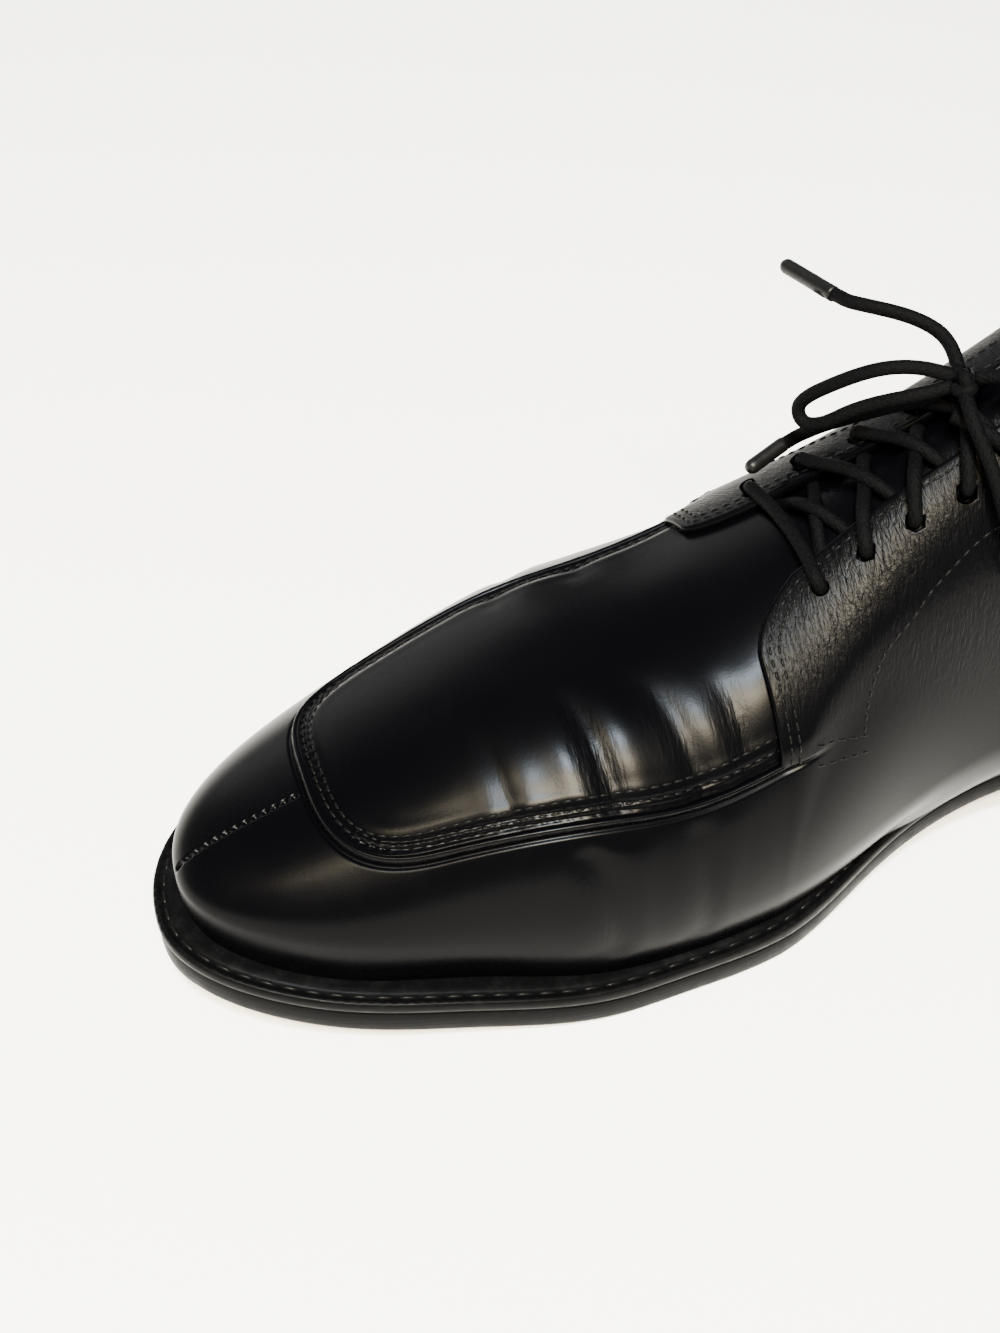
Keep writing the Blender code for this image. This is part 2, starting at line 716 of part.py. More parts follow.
def tongue_row(y0, lift):
    left, right = tongue_edges(np.array(y0))
    x = left + (right - left) * np.array(TONGUE_SHARES)
    pull = np.where(x < X_THROAT_MIDDLE, corner_pull(x, -1), corner_pull(x, 1))
    y = y0 - pull * pull_share(np.full_like(x, y0))
    return on_dome(x, y, lift)


def build_tongue(mat, collection):
    """The tongue lies under the facings and dips under the apron's rear edge."""
    top = []
    bottom = []
    for y0 in TONGUE_Y:
        dip = smooth((y0 - 173.5) / 6)
        sag = 0.5 * smooth((114 - y0) / 8)
        depth = TONGUE_DEPTH + (TONGUE_APRON_DEPTH - TONGUE_DEPTH) * dip + sag
        top.append(tongue_row(y0, -depth))
        bottom.append(tongue_row(y0, -depth - TONGUE_THICKNESS))
    top = np.array(top)
    bottom = np.array(bottom)
    shell = Shell()
    shell.sheet(top)
    shell.sheet(bottom)
    shell.strip(top[0], bottom[0])
    shell.strip(top[-1], bottom[-1])
    shell.strip(top[:, 0], bottom[:, 0])
    shell.strip(top[:, -1], bottom[:, -1])
    return add_solid("tongue", shell, mat, collection)


def eyelet_place(side, row):
    y = EYELET_ROWS_Y[row]
    x = float(facing_edge(y, side)) + side * EYELET_INSET[side]
    return x, y


def punch_holes(upper, cutters):
    """Ten lace holes straight through the facings."""
    work = bmesh.new()
    for row in range(len(EYELET_ROWS_Y)):
        for side in (-1, 1):
            x, y = eyelet_place(side, row)
            low = on_dome(np.array(x), np.array(y), -1.2)
            high = on_dome(np.array(x), np.array(y), 5.0)
            axis = (high - low) / np.linalg.norm(high - low)
            made = bmesh.ops.create_cone(work, cap_ends=True, segments=10,
                                         radius1=EYELET_RADIUS * MM, radius2=EYELET_RADIUS * MM,
                                         depth=float(np.linalg.norm(high - low)) * MM)
            turn = Vector((0, 0, 1)).rotation_difference(Vector(axis)).to_matrix()
            bmesh.ops.rotate(work, verts=made["verts"], cent=(0, 0, 0), matrix=turn)
            bmesh.ops.translate(work, verts=made["verts"], vec=Vector((low + high) / 2 * MM))
    data = bpy.data.meshes.new("lace_hole_cutter")
    work.to_mesh(data)
    work.free()
    cutter = add_object("lace_hole_cutter", data, None, cutters)
    cutter.hide_render = True
    cutter.display_type = "WIRE"
    cut = upper.modifiers.new("lace_holes", "BOOLEAN")
    cut.operation = "DIFFERENCE"
    cut.solver = "EXACT"
    cut.object = cutter


def smooth_route(points, spacing):
    """Evenly spaced points on a smooth curve through the route's own points."""
    points = np.array(points, float)
    knots = path_length(points)
    curves = [spline(knots, points[:, i]) for i in range(3)]
    fine = np.linspace(0, knots[-1], 400)
    dense = np.column_stack([curve(fine) for curve in curves])
    lengths = path_length(dense)
    count = max(int(round(lengths[-1] / spacing)), 2)
    places = np.linspace(0, lengths[-1], count + 1)
    return np.column_stack([np.interp(places, lengths, dense[:, i]) for i in range(3)])


def add_cord(name, points, radius, mat, collection):
    data = bpy.data.curves.new(name, "CURVE")
    data.dimensions = "3D"
    data.bevel_depth = radius * MM
    data.bevel_resolution = 2
    data.use_fill_caps = True
    line = data.splines.new("POLY")
    line.points.add(len(points) - 1)
    for target, point in zip(line.points, points):
        target.co = (*[float(v) * MM for v in point], 1.0)
    return add_object(name, data, mat, collection)


def cord_as_mesh(obj, collection, mat):
    """Turns a curve into a mesh with welded caps, so that it can be joined to others."""
    graph = bpy.context.evaluated_depsgraph_get()
    data = bpy.data.meshes.new_from_object(obj.evaluated_get(graph))
    work = bmesh.new()
    work.from_mesh(data)
    bmesh.ops.remove_doubles(work, verts=work.verts, dist=0.00001)
    bmesh.ops.recalc_face_normals(work, faces=work.faces)
    work.to_mesh(data)
    work.free()
    name = obj.name
    bpy.data.objects.remove(obj)
    data.materials.clear()
    return add_object(name, data, mat, collection)


def lace_bar(start, end, lift):
    """A stretch of lace over the facings between two holes."""
    (x0, y0), (x1, y1) = start, end
    share = np.linspace(0, 1, 7)
    x = x0 + (x1 - x0) * share
    y = y0 + (y1 - y0) * share
    return on_dome(x, y, lift)


def build_lace_bars(mat, collection, cutters):
    """The crossings between the facings, joined where they meet."""
    lift = FLAP_LIFT + LACE_RADIUS + LACE_CLEARANCE
    stretches = [(eyelet_place(-1, 0), eyelet_place(1, 0))]
    for row in range(len(EYELET_ROWS_Y) - 1):
        for side in (-1, 1):
            stretches.append((eyelet_place(side, row), eyelet_place(-side, row + 1)))
    pieces = []
    for i, (start, end) in enumerate(stretches):
        points = lace_bar(start, end, lift)
        cord = add_cord("lace_bars" if i == 0 else f"lace_stretch_{i}", points, LACE_RADIUS,
                        mat, collection if i == 0 else cutters)
        bpy.context.view_layer.update()
        pieces.append(cord_as_mesh(cord, collection if i == 0 else cutters, mat))
    bars = pieces[0]
    for piece in pieces[1:]:
        piece.hide_render = True
        piece.display_type = "WIRE"
        joint = bars.modifiers.new(piece.name, "BOOLEAN")
        joint.operation = "UNION"
        joint.solver = "EXACT"
        joint.object = piece
    return bars


# The bow. Routes are in millimetres, by hand: out of the knot, along the loop and back, or out
# to the lace's end.
KNOT_PLACE = (-3.2, 138.9, 111.3)
KNOT_SIZE = (4.6, 3.6, 2.8)
LOOP_TOE_ROUTE = [
    (-0.9, 142.6, 112.6), (3.2, 150.8, 112.4), (6.4, 155.6, 109.6), (9.9, 159.9, 105.4),
    (12.4, 162.6, 101.4), (12.6, 162.9, 98.5), (10.0, 161.4, 97.8), (6.0, 157.6, 101.2),
    (3.0, 153.0, 104.8), (-0.6, 147.8, 107.9), (-2.5, 142.8, 109.8),
]
LOOP_SIDE_ROUTE = [
    (-5.9, 135.5, 113.5), (-11.4, 131.7, 114.6), (-19.2, 128.0, 109.8), (-25.4, 125.3, 100.0),
    (-29.9, 124.7, 88.7), (-31.6, 127.4, 81.4), (-30.2, 131.4, 80.4), (-27.6, 134.7, 85.6),
    (-23.8, 137.2, 94.2), (-18.4, 139.4, 102.8), (-11.6, 140.6, 108.4), (-7.8, 140.1, 110.0),
]
END_TOE_ROUTE = [
    (0.8, 143.2, 105.6), (2.6, 147.2, 103.9), (6.0, 151.3, 100.8), (9.6, 154.4, 97.4),
    (13.7, 157.0, 93.4), (17.2, 158.2, 89.8), (18.7, 159.9, 87.7), (18.5, 161.9, 86.9),
]
AGLET_TOE_ROUTE = [(18.4, 162.4, 86.8), (15.0, 171.4, 84.6)]
END_SIDE_ROUTE = [
    (1.2, 138.4, 113.5), (5.8, 139.2, 116.0), (8.8, 141.8, 117.4), (13.0, 146.6, 118.2),
    (17.4, 151.2, 118.0), (20.4, 153.0, 117.6), (22.8, 153.6, 117.3),
]
AGLET_SIDE_ROUTE = [(23.3, 153.8, 117.2), (38.2, 157.6, 116.2)]
LACE_SPACING = 3.2


def build_bow(lace_mat, tip_mat, collection):
    data = bpy.data.meshes.new("lace_knot")
    work = bmesh.new()
    bmesh.ops.create_uvsphere(work, u_segments=12, v_segments=8, radius=MM)
    bmesh.ops.scale(work, verts=work.verts, vec=KNOT_SIZE)
    bmesh.ops.translate(work, verts=work.verts, vec=Vector(KNOT_PLACE) * MM)
    work.to_mesh(data)
    work.free()
    data.shade_smooth()
    add_object("lace_knot", data, lace_mat, collection)
    routes = (("lace_loop_toe", LOOP_TOE_ROUTE), ("lace_loop_side", LOOP_SIDE_ROUTE),
              ("lace_end_toe", END_TOE_ROUTE), ("lace_end_side", END_SIDE_ROUTE))
    for name, route in routes:
        add_cord(name, smooth_route(route, LACE_SPACING), LACE_RADIUS, lace_mat, collection)
    for name, route in (("aglet_toe", AGLET_TOE_ROUTE), ("aglet_side", AGLET_SIDE_ROUTE)):
        add_cord(name, np.array(route), LACE_RADIUS + 0.15, tip_mat, collection)


def build_shoe():
    for obj in list(bpy.data.objects):
        bpy.data.objects.remove(obj)
    shoe = bpy.data.collections.new("split_toe_derby")
    cutters = bpy.data.collections.new("cutters")
    bpy.context.scene.collection.children.link(shoe)
    bpy.context.scene.collection.children.link(cutters)
    add_frame()

    leather = material("black_calf", (0.012, 0.012, 0.014), 0.32)
    tongue_leather = material("black_tongue_calf", (0.012, 0.012, 0.014), 0.38)
    welt_leather = material("black_welt_leather", (0.014, 0.013, 0.012), 0.45)
    sole_leather = material("black_sole_leather", (0.016, 0.014, 0.013), 0.5)
    heel_leather = material("black_stacked_leather", (0.015, 0.014, 0.013), 0.45)
    rubber = material("black_rubber", (0.01, 0.01, 0.01), 0.7)
    lining = material("tan_lining_leather", (0.45, 0.3, 0.18), 0.6)
    lace = material("black_waxed_lace", (0.012, 0.012, 0.013), 0.6)
    tip = material("black_lace_tip", (0.01, 0.01, 0.01), 0.3)

    upper = build_upper(leather, shoe)
    punch_holes(upper, cutters)
    build_tongue(tongue_leather, shoe)
    build_outsole(sole_leather, shoe)
    build_welt(welt_leather, shoe)
    build_insole(lining, shoe)
    build_heel(heel_leather, rubber, shoe)
    build_lace_bars(lace, shoe, cutters)
    build_bow(lace, tip, shoe)


build_shoe()
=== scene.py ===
"""Look of the split toe derby: right shoe, in metres, +Z up, toe towards +Y, inner side towards -X.

The shapes are worked out in millimetres on the last that the solids come from, with its origin
at the heel's back, and metres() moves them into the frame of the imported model.
"""

import math

import bmesh
import bpy
import numpy as np
from mathutils import Matrix, Vector
from mathutils.bvhtree import BVHTree


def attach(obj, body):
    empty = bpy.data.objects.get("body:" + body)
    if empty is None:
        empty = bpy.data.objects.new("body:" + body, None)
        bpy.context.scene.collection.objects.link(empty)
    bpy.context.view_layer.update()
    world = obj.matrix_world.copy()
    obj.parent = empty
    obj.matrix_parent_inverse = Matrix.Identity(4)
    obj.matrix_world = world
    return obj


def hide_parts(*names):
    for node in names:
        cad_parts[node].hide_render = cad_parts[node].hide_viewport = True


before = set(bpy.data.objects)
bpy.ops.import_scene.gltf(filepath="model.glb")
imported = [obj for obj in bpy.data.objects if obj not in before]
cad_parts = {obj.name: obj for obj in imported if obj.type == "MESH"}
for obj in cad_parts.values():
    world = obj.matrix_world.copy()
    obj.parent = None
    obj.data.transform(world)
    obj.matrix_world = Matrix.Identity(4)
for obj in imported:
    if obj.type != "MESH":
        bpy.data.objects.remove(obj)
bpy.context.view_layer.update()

# ---- The last, as in the source of the solids. Sides are -1 for inner and 1 for outer.
ORIGIN = np.array([4.730, 150.25, 0.0])
MM = 0.001
LAST_COLUMNS = ("y med lat spine crown seat sole rise_med rise_lat tuck_med tuck_lat"
                " edge_med edge_lat plump seam_med seam_lat").split()
LAST_ROWS = [
    #  y    med    lat  spine crown  seat  sole  rise       tuck      edge      plump  seam
    [0,   -31.0, 32.0,  0.0, 165.0, 34.5, 25.0, 20.0, 20.0, 2.5, 2.5, 1.5, 1.5, 2.10, -24.0, 24.0],
    [35,  -32.5, 33.5,  0.0, 163.0, 33.5, 24.8, 20.0, 20.0, 2.0, 3.0, 1.5, 1.5, 2.10, -24.0, 24.0],
    [60,  -32.5, 34.5,  0.0, 153.0, 31.5, 22.5, 20.0, 20.0, 2.5, 3.0, 0.3, 1.8, 2.10, -24.0, 24.0],
    [90,  -29.5, 36.0, -1.5, 135.0, 26.6, 17.3, 19.0, 18.0, 6.0, 3.5, -3.5, 2.0, 2.05, -24.0, 26.0],
    [120, -27.5, 39.0, -3.5, 113.5, 19.6, 10.2, 17.0, 16.0, 7.5, 4.0, -5.5, 2.5, 2.00, -26.0, 28.0],
    [150, -32.8, 44.0, -4.5, 93.5,  13.6, 4.0,  14.5, 14.0, 4.8, 3.5, -2.8, 4.0, 2.00, -30.5, 29.0],
    [175, -40.9, 49.0, -4.2, 76.0,  10.4, 0.2,  13.0, 12.0, 3.0, 3.0, 0.8, 4.5, 2.08, -34.5, 27.5],
    [200, -44.2, 51.8, -4.5, 65.4,  9.6,  -0.5, 12.3, 11.0, 2.0, 2.5, 1.8, 5.0, 2.20, -37.0, 26.0],
    [220, -44.0, 48.3, -4.6, 61.7,  10.1, 0.4,  11.5, 10.0, 1.5, 2.5, 3.5, 5.5, 2.28, -35.7, 25.6],
    [245, -40.6, 41.7, -5.3, 54.4,  12.3, 2.7,  10.4, 9.0,  1.5, 2.5, 5.0, 5.5, 2.30, -31.0, 23.8],
    [270, -39.6, 38.0, -6.7, 46.4,  13.9, 4.3,  10.2, 9.0,  1.0, 2.0, 4.9, 5.5, 2.30, -27.8, 22.0],
    [297, -37.0, 33.4, -7.7, 42.1,  17.1, 7.5,  9.4,  9.4,  1.5, 1.5, 5.0, 5.0, 2.32, -29.6, 23.3],
]
LAST_LENGTH = 297.0
Y_HEEL_CAP = 35.0       # the plan is round behind this
Y_TOE_CAP = 215.0       # and ahead of this
Y_APRON_CAP = 246.0     # the apron seam is round ahead of this
Y_APRON_FRONT = 269.0
APRON_PLUMP = 3.1       # how square the seam's front is
# The facings' edges on both sides of the throat: y, inner and outer.
THROAT_ROWS = [[104, -9.0, 0.8], [130, -9.5, 1.0], [145, -10.0, 2.4], [160, -10.2, 7.6],
               [170, -11.4, 10.8], [185, -11.4, 11.4]]
X_THROAT_MIDDLE = 0.2
# The collar's line: y and height.
COLLAR_ROWS = [[0, 101.0], [15, 97.5], [35, 91.0], [60, 86.5], [78, 90.0], [92, 101.0],
               [104, 124.0], [112, 150.0]]
Y_COLLAR_ENDS = 112.0
# The flaps' front edge, and how their corners are rounded back from it on each side.
Y_FLAP = 182.0
CORNER_DEPTH = 12.0
CORNER_START = 11.5
CORNER_WIDTH = {-1: 11.0, 1: 5.0}
CORNER_POWER = {-1: 2.2, 1: 1.6}
WALL = 2.2              # the upper's thickness
APRON_LIFT = 0.7        # the apron's height over the last
FLAP_LIFT = 2.5         # the flaps' height over the last
GAP = 0.3               # between pieces that meet
OUTSOLE_THICKNESS = 6.2
OUTSOLE_INSET = 0.5
INSOLE_THICKNESS = 2.4
Y_HEEL_BREAST = 62.0
TOP_LIFT_THICKNESS = 6.0
TONGUE_THICKNESS = 1.8
TONGUE_OVERLAP = 10.0
TONGUE_DEPTH = 0.45
Y_TONGUE_TOP = 95.0
EYELET_ROWS_Y = [168.5, 159.5, 150.5, 141.0, 131.5]
EYELET_INSET = {-1: 4.8, 1: 4.0}
EYELET_RADIUS = 1.75
LACE_RADIUS = 1.4


def metres(points):
    """Points on the last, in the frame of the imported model."""
    return (np.asarray(points, float) - ORIGIN) * MM


def spline(xs, ys):
    """A natural cubic spline through the rows, held level beyond both ends."""
    xs = np.asarray(xs, float)
    ys = np.asarray(ys, float)
    count = len(xs)
    step = np.diff(xs)
    matrix = np.eye(count)
    right = np.zeros(count)
    for i in range(1, count - 1):
        matrix[i, i - 1:i + 2] = step[i - 1], 2 * (step[i - 1] + step[i]), step[i]
        right[i] = 6 * ((ys[i + 1] - ys[i]) / step[i] - (ys[i] - ys[i - 1]) / step[i - 1])
    bend = np.linalg.solve(matrix, right)

    def value(x):
        x = np.clip(np.asarray(x, float), xs[0], xs[-1])
        i = np.clip(np.searchsorted(xs, x) - 1, 0, count - 2)
        a = (xs[i + 1] - x) / step[i]
        b = (x - xs[i]) / step[i]
        curve = ((a ** 3 - a) * bend[i] + (b ** 3 - b) * bend[i + 1]) * step[i] ** 2 / 6
        return a * ys[i] + b * ys[i + 1] + curve

    return value


def columns(rows, names):
    """Each column of a table as a curve over its first column, y."""
    table = np.array(rows, float)
    return {name: spline(table[:, 0], table[:, i]) for i, name in enumerate(names) if i}


LAST = columns(LAST_ROWS, LAST_COLUMNS)
THROAT = columns(THROAT_ROWS, ["y", "med", "lat"])
COLLAR = columns(COLLAR_ROWS, ["y", "height"])["height"]


def side_value(name, y, side):
    """A column that has an inner and an outer value, at y."""
    return LAST[name + ("_med" if side < 0 else "_lat")](y)


def half_width(y, side):
    return np.abs(LAST["med" if side < 0 else "lat"](y) - LAST["spine"](y))


def facing_edge(y, side):
    return THROAT["med" if side < 0 else "lat"](y)


def smooth(x):
    x = np.clip(x, 0, 1)
    return x * x * (3 - 2 * x)


def unit(vectors):
    return vectors / np.maximum(np.linalg.norm(vectors, axis=-1, keepdims=True), 1e-9)


def straight_station(y):
    """The station at y. They run from 0 at the heel's back to 3 at the tip.

    Between 1 and 2 they are straight across, and beyond they turn round the ends.
    """
    return 1 + (y - Y_HEEL_CAP) / (Y_TOE_CAP - Y_HEEL_CAP)


def station_y(station):
    return Y_HEEL_CAP + (station - 1) * (Y_TOE_CAP - Y_HEEL_CAP)


def plan(side, station, share):
    """The plan position at a share of the half width, from the spine to the widest line."""
    share = np.asarray(share, float)
    if 1 <= station <= 2:
        across = share
        y = np.full_like(share, station_y(station))
    else:
        start, length, turn = ((Y_HEEL_CAP, -Y_HEEL_CAP, 1 - station) if station < 1 else
                               (Y_TOE_CAP, LAST_LENGTH - Y_TOE_CAP, station - 2))
        angle = turn * math.pi / 2
        power = 2 / LAST["plump"](start)
        across = share * max(math.cos(angle), 0.0) ** power
        y = start + length * share * max(math.sin(angle), 0.0) ** power
    return LAST["spine"](y) + side * across * half_width(y, side), y


def corner_pull(x, side):
    """How far the flap's rounded front corner stands back from the flap line."""
    reach = (np.abs(x - X_THROAT_MIDDLE) - CORNER_START) / CORNER_WIDTH[side]
    return CORNER_DEPTH * (1 - np.clip(reach, 0, 1)) ** CORNER_POWER[side]


def pull_share(y):
    return np.where(y > Y_FLAP, np.exp(-(y - Y_FLAP) / 14), np.exp(-(Y_FLAP - y) / 25))


def dome_height(x, y):
    """Height of the last's top over a plan position."""
    x, y = np.asarray(x, float), np.asarray(y, float)
    spine = LAST["spine"](y)
    inner = x < spine
    width = np.where(inner, half_width(y, -1), half_width(y, 1))
    ahead = np.clip((y - Y_TOE_CAP) / (LAST_LENGTH - Y_TOE_CAP), 0, None)
    behind = np.clip((Y_HEEL_CAP - y) / Y_HEEL_CAP, 0, None)
    plump = LAST["plump"](np.clip(y, Y_HEEL_CAP, Y_TOE_CAP))
    across = np.abs(x - spine) / width
    share = np.clip((across ** plump + ahead ** plump + behind ** plump) ** (1 / plump), 1e-6, 1)
    capped = np.clip(y, Y_HEEL_CAP, Y_TOE_CAP)
    foot_y = capped + (y - capped) / share
    rise = np.where(inner, LAST["rise_med"](foot_y), LAST["rise_lat"](foot_y))
    low = LAST["seat"](foot_y) + rise
    return low + (LAST["crown"](y) - low) * np.sqrt(np.clip(1 - share ** plump, 0, 1))


def on_dome(x, y, lift):
    """Points over the last's top, lifted off it along its normal."""
    reach = 0.5
    slope_x = (dome_height(x + reach, y) - dome_height(x - reach, y)) / (2 * reach)
    slope_y = (dome_height(x, y + reach) - dome_height(x, y - reach)) / (2 * reach)
    normal = unit(np.stack([-slope_x, -slope_y, np.ones_like(slope_x)], -1))
    return np.stack([x, y, dome_height(x, y)], -1) + normal * np.asarray(lift)[..., None]


def rib(side, station, samples=520):
    """Points up one rib of the last: the tuck under the widest line, then over to the spine."""
    tuck_samples = 60
    foot = np.array(plan(side, station, 1.0))
    foot_y = foot[1]
    seat = LAST["seat"](foot_y)
    low = seat + side_value("rise", foot_y, side)
    middle_y = np.clip(foot_y, Y_HEEL_CAP, Y_TOE_CAP)
    inward = unit(np.array([LAST["spine"](middle_y), middle_y]) - foot)
    q = np.linspace(0, 1, tuck_samples + 1)[:-1]
    tucked = foot + np.outer(side_value("tuck", foot_y, side) * (1 - q) ** 2, inward)
    lower = np.column_stack([tucked, seat + (low - seat) * q])
    angle = np.linspace(0, math.pi / 2, samples - tuck_samples)
    share = np.cos(angle).clip(0, 1) ** (2 / LAST["plump"](middle_y))
    x, y = plan(side, station, share)
    if 1 <= station <= 2:
        y = y - corner_pull(x, side) * pull_share(y)
        x = LAST["spine"](y) + side * share * half_width(y, side)
    height = low + (LAST["crown"](y) - low) * np.sin(angle)
    return np.vstack([lower, np.column_stack([x, y, height])])


def path_length(points):
    """The length along a path at each of its points."""
    return np.append(0, np.cumsum(np.linalg.norm(np.diff(points, axis=0), axis=1)))


def at_places(points, lengths, places):
    """The points of a path at the given lengths along it."""
    return np.column_stack([np.interp(places, lengths, column) for column in np.transpose(points)])


def crossing(lengths, values):
    """The length at which the values first fall below nought, or the last length."""
    below = np.nonzero(values < 0)[0]
    if len(below) == 0:
        return lengths[-1]
    i = below[0]
    if i == 0:
        return lengths[0]
    share = values[i - 1] / (values[i - 1] - values[i])
    return lengths[i - 1] + (lengths[i] - lengths[i - 1]) * share


def apron_field(x, y):
    """Below nought inside the apron seam, above it outside."""
    left, right = LAST["seam_med"](y), LAST["seam_lat"](y)
    across = np.abs(x - (left + right) / 2) / ((right - left) / 2)
    ahead = np.clip((y - Y_APRON_CAP) / (Y_APRON_FRONT - Y_APRON_CAP), 0, None)
    return across ** APRON_PLUMP + ahead ** APRON_PLUMP - 1


def resample(points, spacing):
    lengths = path_length(points)
    count = max(int(round(lengths[-1] / spacing)), 2)
    return at_places(points, lengths, np.linspace(0, lengths[-1], count + 1))


def smooth_route(points, spacing):
    """Evenly spaced points on a smooth curve through the route's own points."""
    points = np.array(points, float)
    knots = path_length(points)
    curves = [spline(knots, points[:, i]) for i in range(points.shape[1])]
    fine = np.linspace(0, knots[-1], 400)
    return resample(np.column_stack([curve(fine) for curve in curves]), spacing)


# ---- The camera, at the photograph's angle and distance.
CAMERA_PLACE = (-240.07, 309.32, 290.30)
CAMERA_AZIMUTH = 18.731
CAMERA_ELEVATION = 42.46
CAMERA_ROLL = 1.764
CAMERA_FOCAL_PX = 1735.7
CAMERA_SENSOR_MM = 24.0
PHOTO_HEIGHT_PX = 1333.0


def add_camera():
    azimuth, elevation, roll = (math.radians(v) for v in
                                (CAMERA_AZIMUTH, CAMERA_ELEVATION, CAMERA_ROLL))
    back = Vector((-math.cos(azimuth) * math.cos(elevation),
                   math.sin(azimuth) * math.cos(elevation), math.sin(elevation)))
    right = (-back).cross(Vector((0, 0, 1))).normalized()
    up = right.cross(-back)
    turn = Matrix((right * math.cos(roll) + up * math.sin(roll),
                   up * math.cos(roll) - right * math.sin(roll), back)).transposed()
    data = bpy.data.cameras.new("photo_camera")
    data.sensor_fit = "VERTICAL"
    data.sensor_height = CAMERA_SENSOR_MM
    data.lens = CAMERA_FOCAL_PX / PHOTO_HEIGHT_PX * CAMERA_SENSOR_MM
    data.clip_start = 0.01
    data.clip_end = 50.0
    camera = bpy.data.objects.new("photo_camera", data)
    camera.matrix_world = Matrix.Translation(Vector(metres(CAMERA_PLACE))) @ turn.to_4x4()
    bpy.context.scene.collection.objects.link(camera)
    bpy.context.scene.camera = camera


# ---- Materials.
class Nodes:
    """Short names for the few shader nodes that the materials use."""

    def __init__(self, name):
        self.material = bpy.data.materials.new(name)
        self.material.use_nodes = True
        self.tree = self.material.node_tree
        self.place = self.add("ShaderNodeTexCoord", {}).outputs["Object"]

    def connect(self, node, inputs):
        """Sets each input to its number or color, or links it to its socket."""
        for key, source in inputs.items():
            if isinstance(source, (int, float, tuple)):
                node.inputs[key].default_value = source
            elif source is not None:
                self.tree.links.new(source, node.inputs[key])
        return node

    def add(self, kind, inputs, **settings):
        node = self.tree.nodes.new(kind)
        for key, value in settings.items():
            setattr(node, key, value)
        return self.connect(node, inputs)

    def stretched(self, scale, turn=0.0):
        inputs = {"Scale": scale, "Rotation": (0, 0, turn), "Vector": self.place}
        return self.add("ShaderNodeMapping", inputs).outputs["Vector"]

    def noise(self, scale, detail=3.0, rough=0.5, vector=None, distortion=0.0):
        inputs = {"Scale": scale, "Detail": detail, "Roughness": rough, "Distortion": distortion,
                  "Vector": vector or self.place}
        return self.add("ShaderNodeTexNoise", inputs).outputs["Fac"]

    def cells(self, scale):
        inputs = {"Scale": scale, "Vector": self.place}
        return self.add("ShaderNodeTexVoronoi", inputs).outputs["Distance"]

    def attribute(self, name):
        return self.add("ShaderNodeAttribute", {}, attribute_name=name).outputs["Fac"]

    def math(self, operation, *values):
        return self.add("ShaderNodeMath", dict(enumerate(values)), operation=operation).outputs[0]

    def spread(self, value, low, high, out_low, out_high):
        """Maps low to high onto the other pair, and holds it within them."""
        inputs = {"Value": value, "From Min": low, "From Max": high, "To Min": out_low,
                  "To Max": out_high}
        return self.add("ShaderNodeMapRange", inputs).outputs["Result"]

    def colors(self, value, first, second):
        inputs = {"Factor": value, 6: opaque(first), 7: opaque(second)}
        return self.add("ShaderNodeMix", inputs, data_type="RGBA").outputs[2]

    def bump(self, height, distance, strength=1.0, below=None):
        inputs = {"Distance": distance, "Strength": strength, "Height": height, "Normal": below}
        return self.add("ShaderNodeBump", inputs).outputs["Normal"]

    def finish(self, color, roughness, normal=None, specular=0.5):
        self.connect(self.tree.nodes["Principled BSDF"],
                     {"Base Color": opaque(color), "Roughness": roughness, "Normal": normal,
                      "Specular IOR Level": specular})
        return self.material


def opaque(color):
    return (*color, 1) if isinstance(color, tuple) else color


CREASE_TURN = math.radians(12)
BRAID_PITCH = 1.9
BRAID_THREADS = 4


def calf(name):
    """Polished black calf: fine pores, soft mottled gloss, and folds where wear has made them."""
    m = Nodes(name)
    pores = m.cells(2300.0)
    grain = m.noise(900.0, 4.0, 0.6)
    soft = m.noise(60.0, 2.0)
    worn = m.attribute("worn")
    height = m.math("ADD", m.math("MULTIPLY", pores, 0.35), grain)
    pits = m.bump(height, 0.00005, m.math("MULTIPLY_ADD", worn, 0.5, 0.22))
    across = m.stretched((110.0, 1000.0, 300.0), CREASE_TURN)
    folds = m.noise(1.0, 2.0, 0.5, across, 0.3)
    folded = m.bump(folds, 0.0005, m.math("MULTIPLY", m.attribute("wrinkle"), 0.42), pits)
    down = m.stretched((330.0, 1350.0, 330.0))
    lines = m.noise(1.0, 2.0, 0.6, down, 0.7)
    lined = m.bump(lines, 0.0003, m.math("MULTIPLY", m.attribute("lines"), 0.7), folded)
    rough = m.math("ADD", m.spread(soft, 0.3, 0.7, 0.24, 0.31), m.math("MULTIPLY", worn, 0.08))
    return m.finish((0.0004, 0.0004, 0.0006), rough, lined, specular=0.032)


def sole_edge(name, color, roughness, scratch):
    """Stained and waxed leather edge: fine layers and a few scuffs."""
    m = Nodes(name)
    layers = m.noise(1.0, 3.0, 0.6, m.stretched((90.0, 90.0, 1800.0)))
    scuffs = m.noise(260.0, 4.0, 0.7)
    height = m.math("ADD", layers, m.math("MULTIPLY", scuffs, scratch))
    normal = m.bump(height, 0.00012, 0.5)
    rough = m.spread(scuffs, 0.3, 0.75, roughness - 0.08, roughness + 0.14)
    lighter = tuple(v * 2.4 for v in color)
    tone = m.colors(m.spread(scuffs, 0.5, 0.8, 0.0, 1.0), color, lighter)
    return m.finish(tone, rough, normal, specular=0.025)


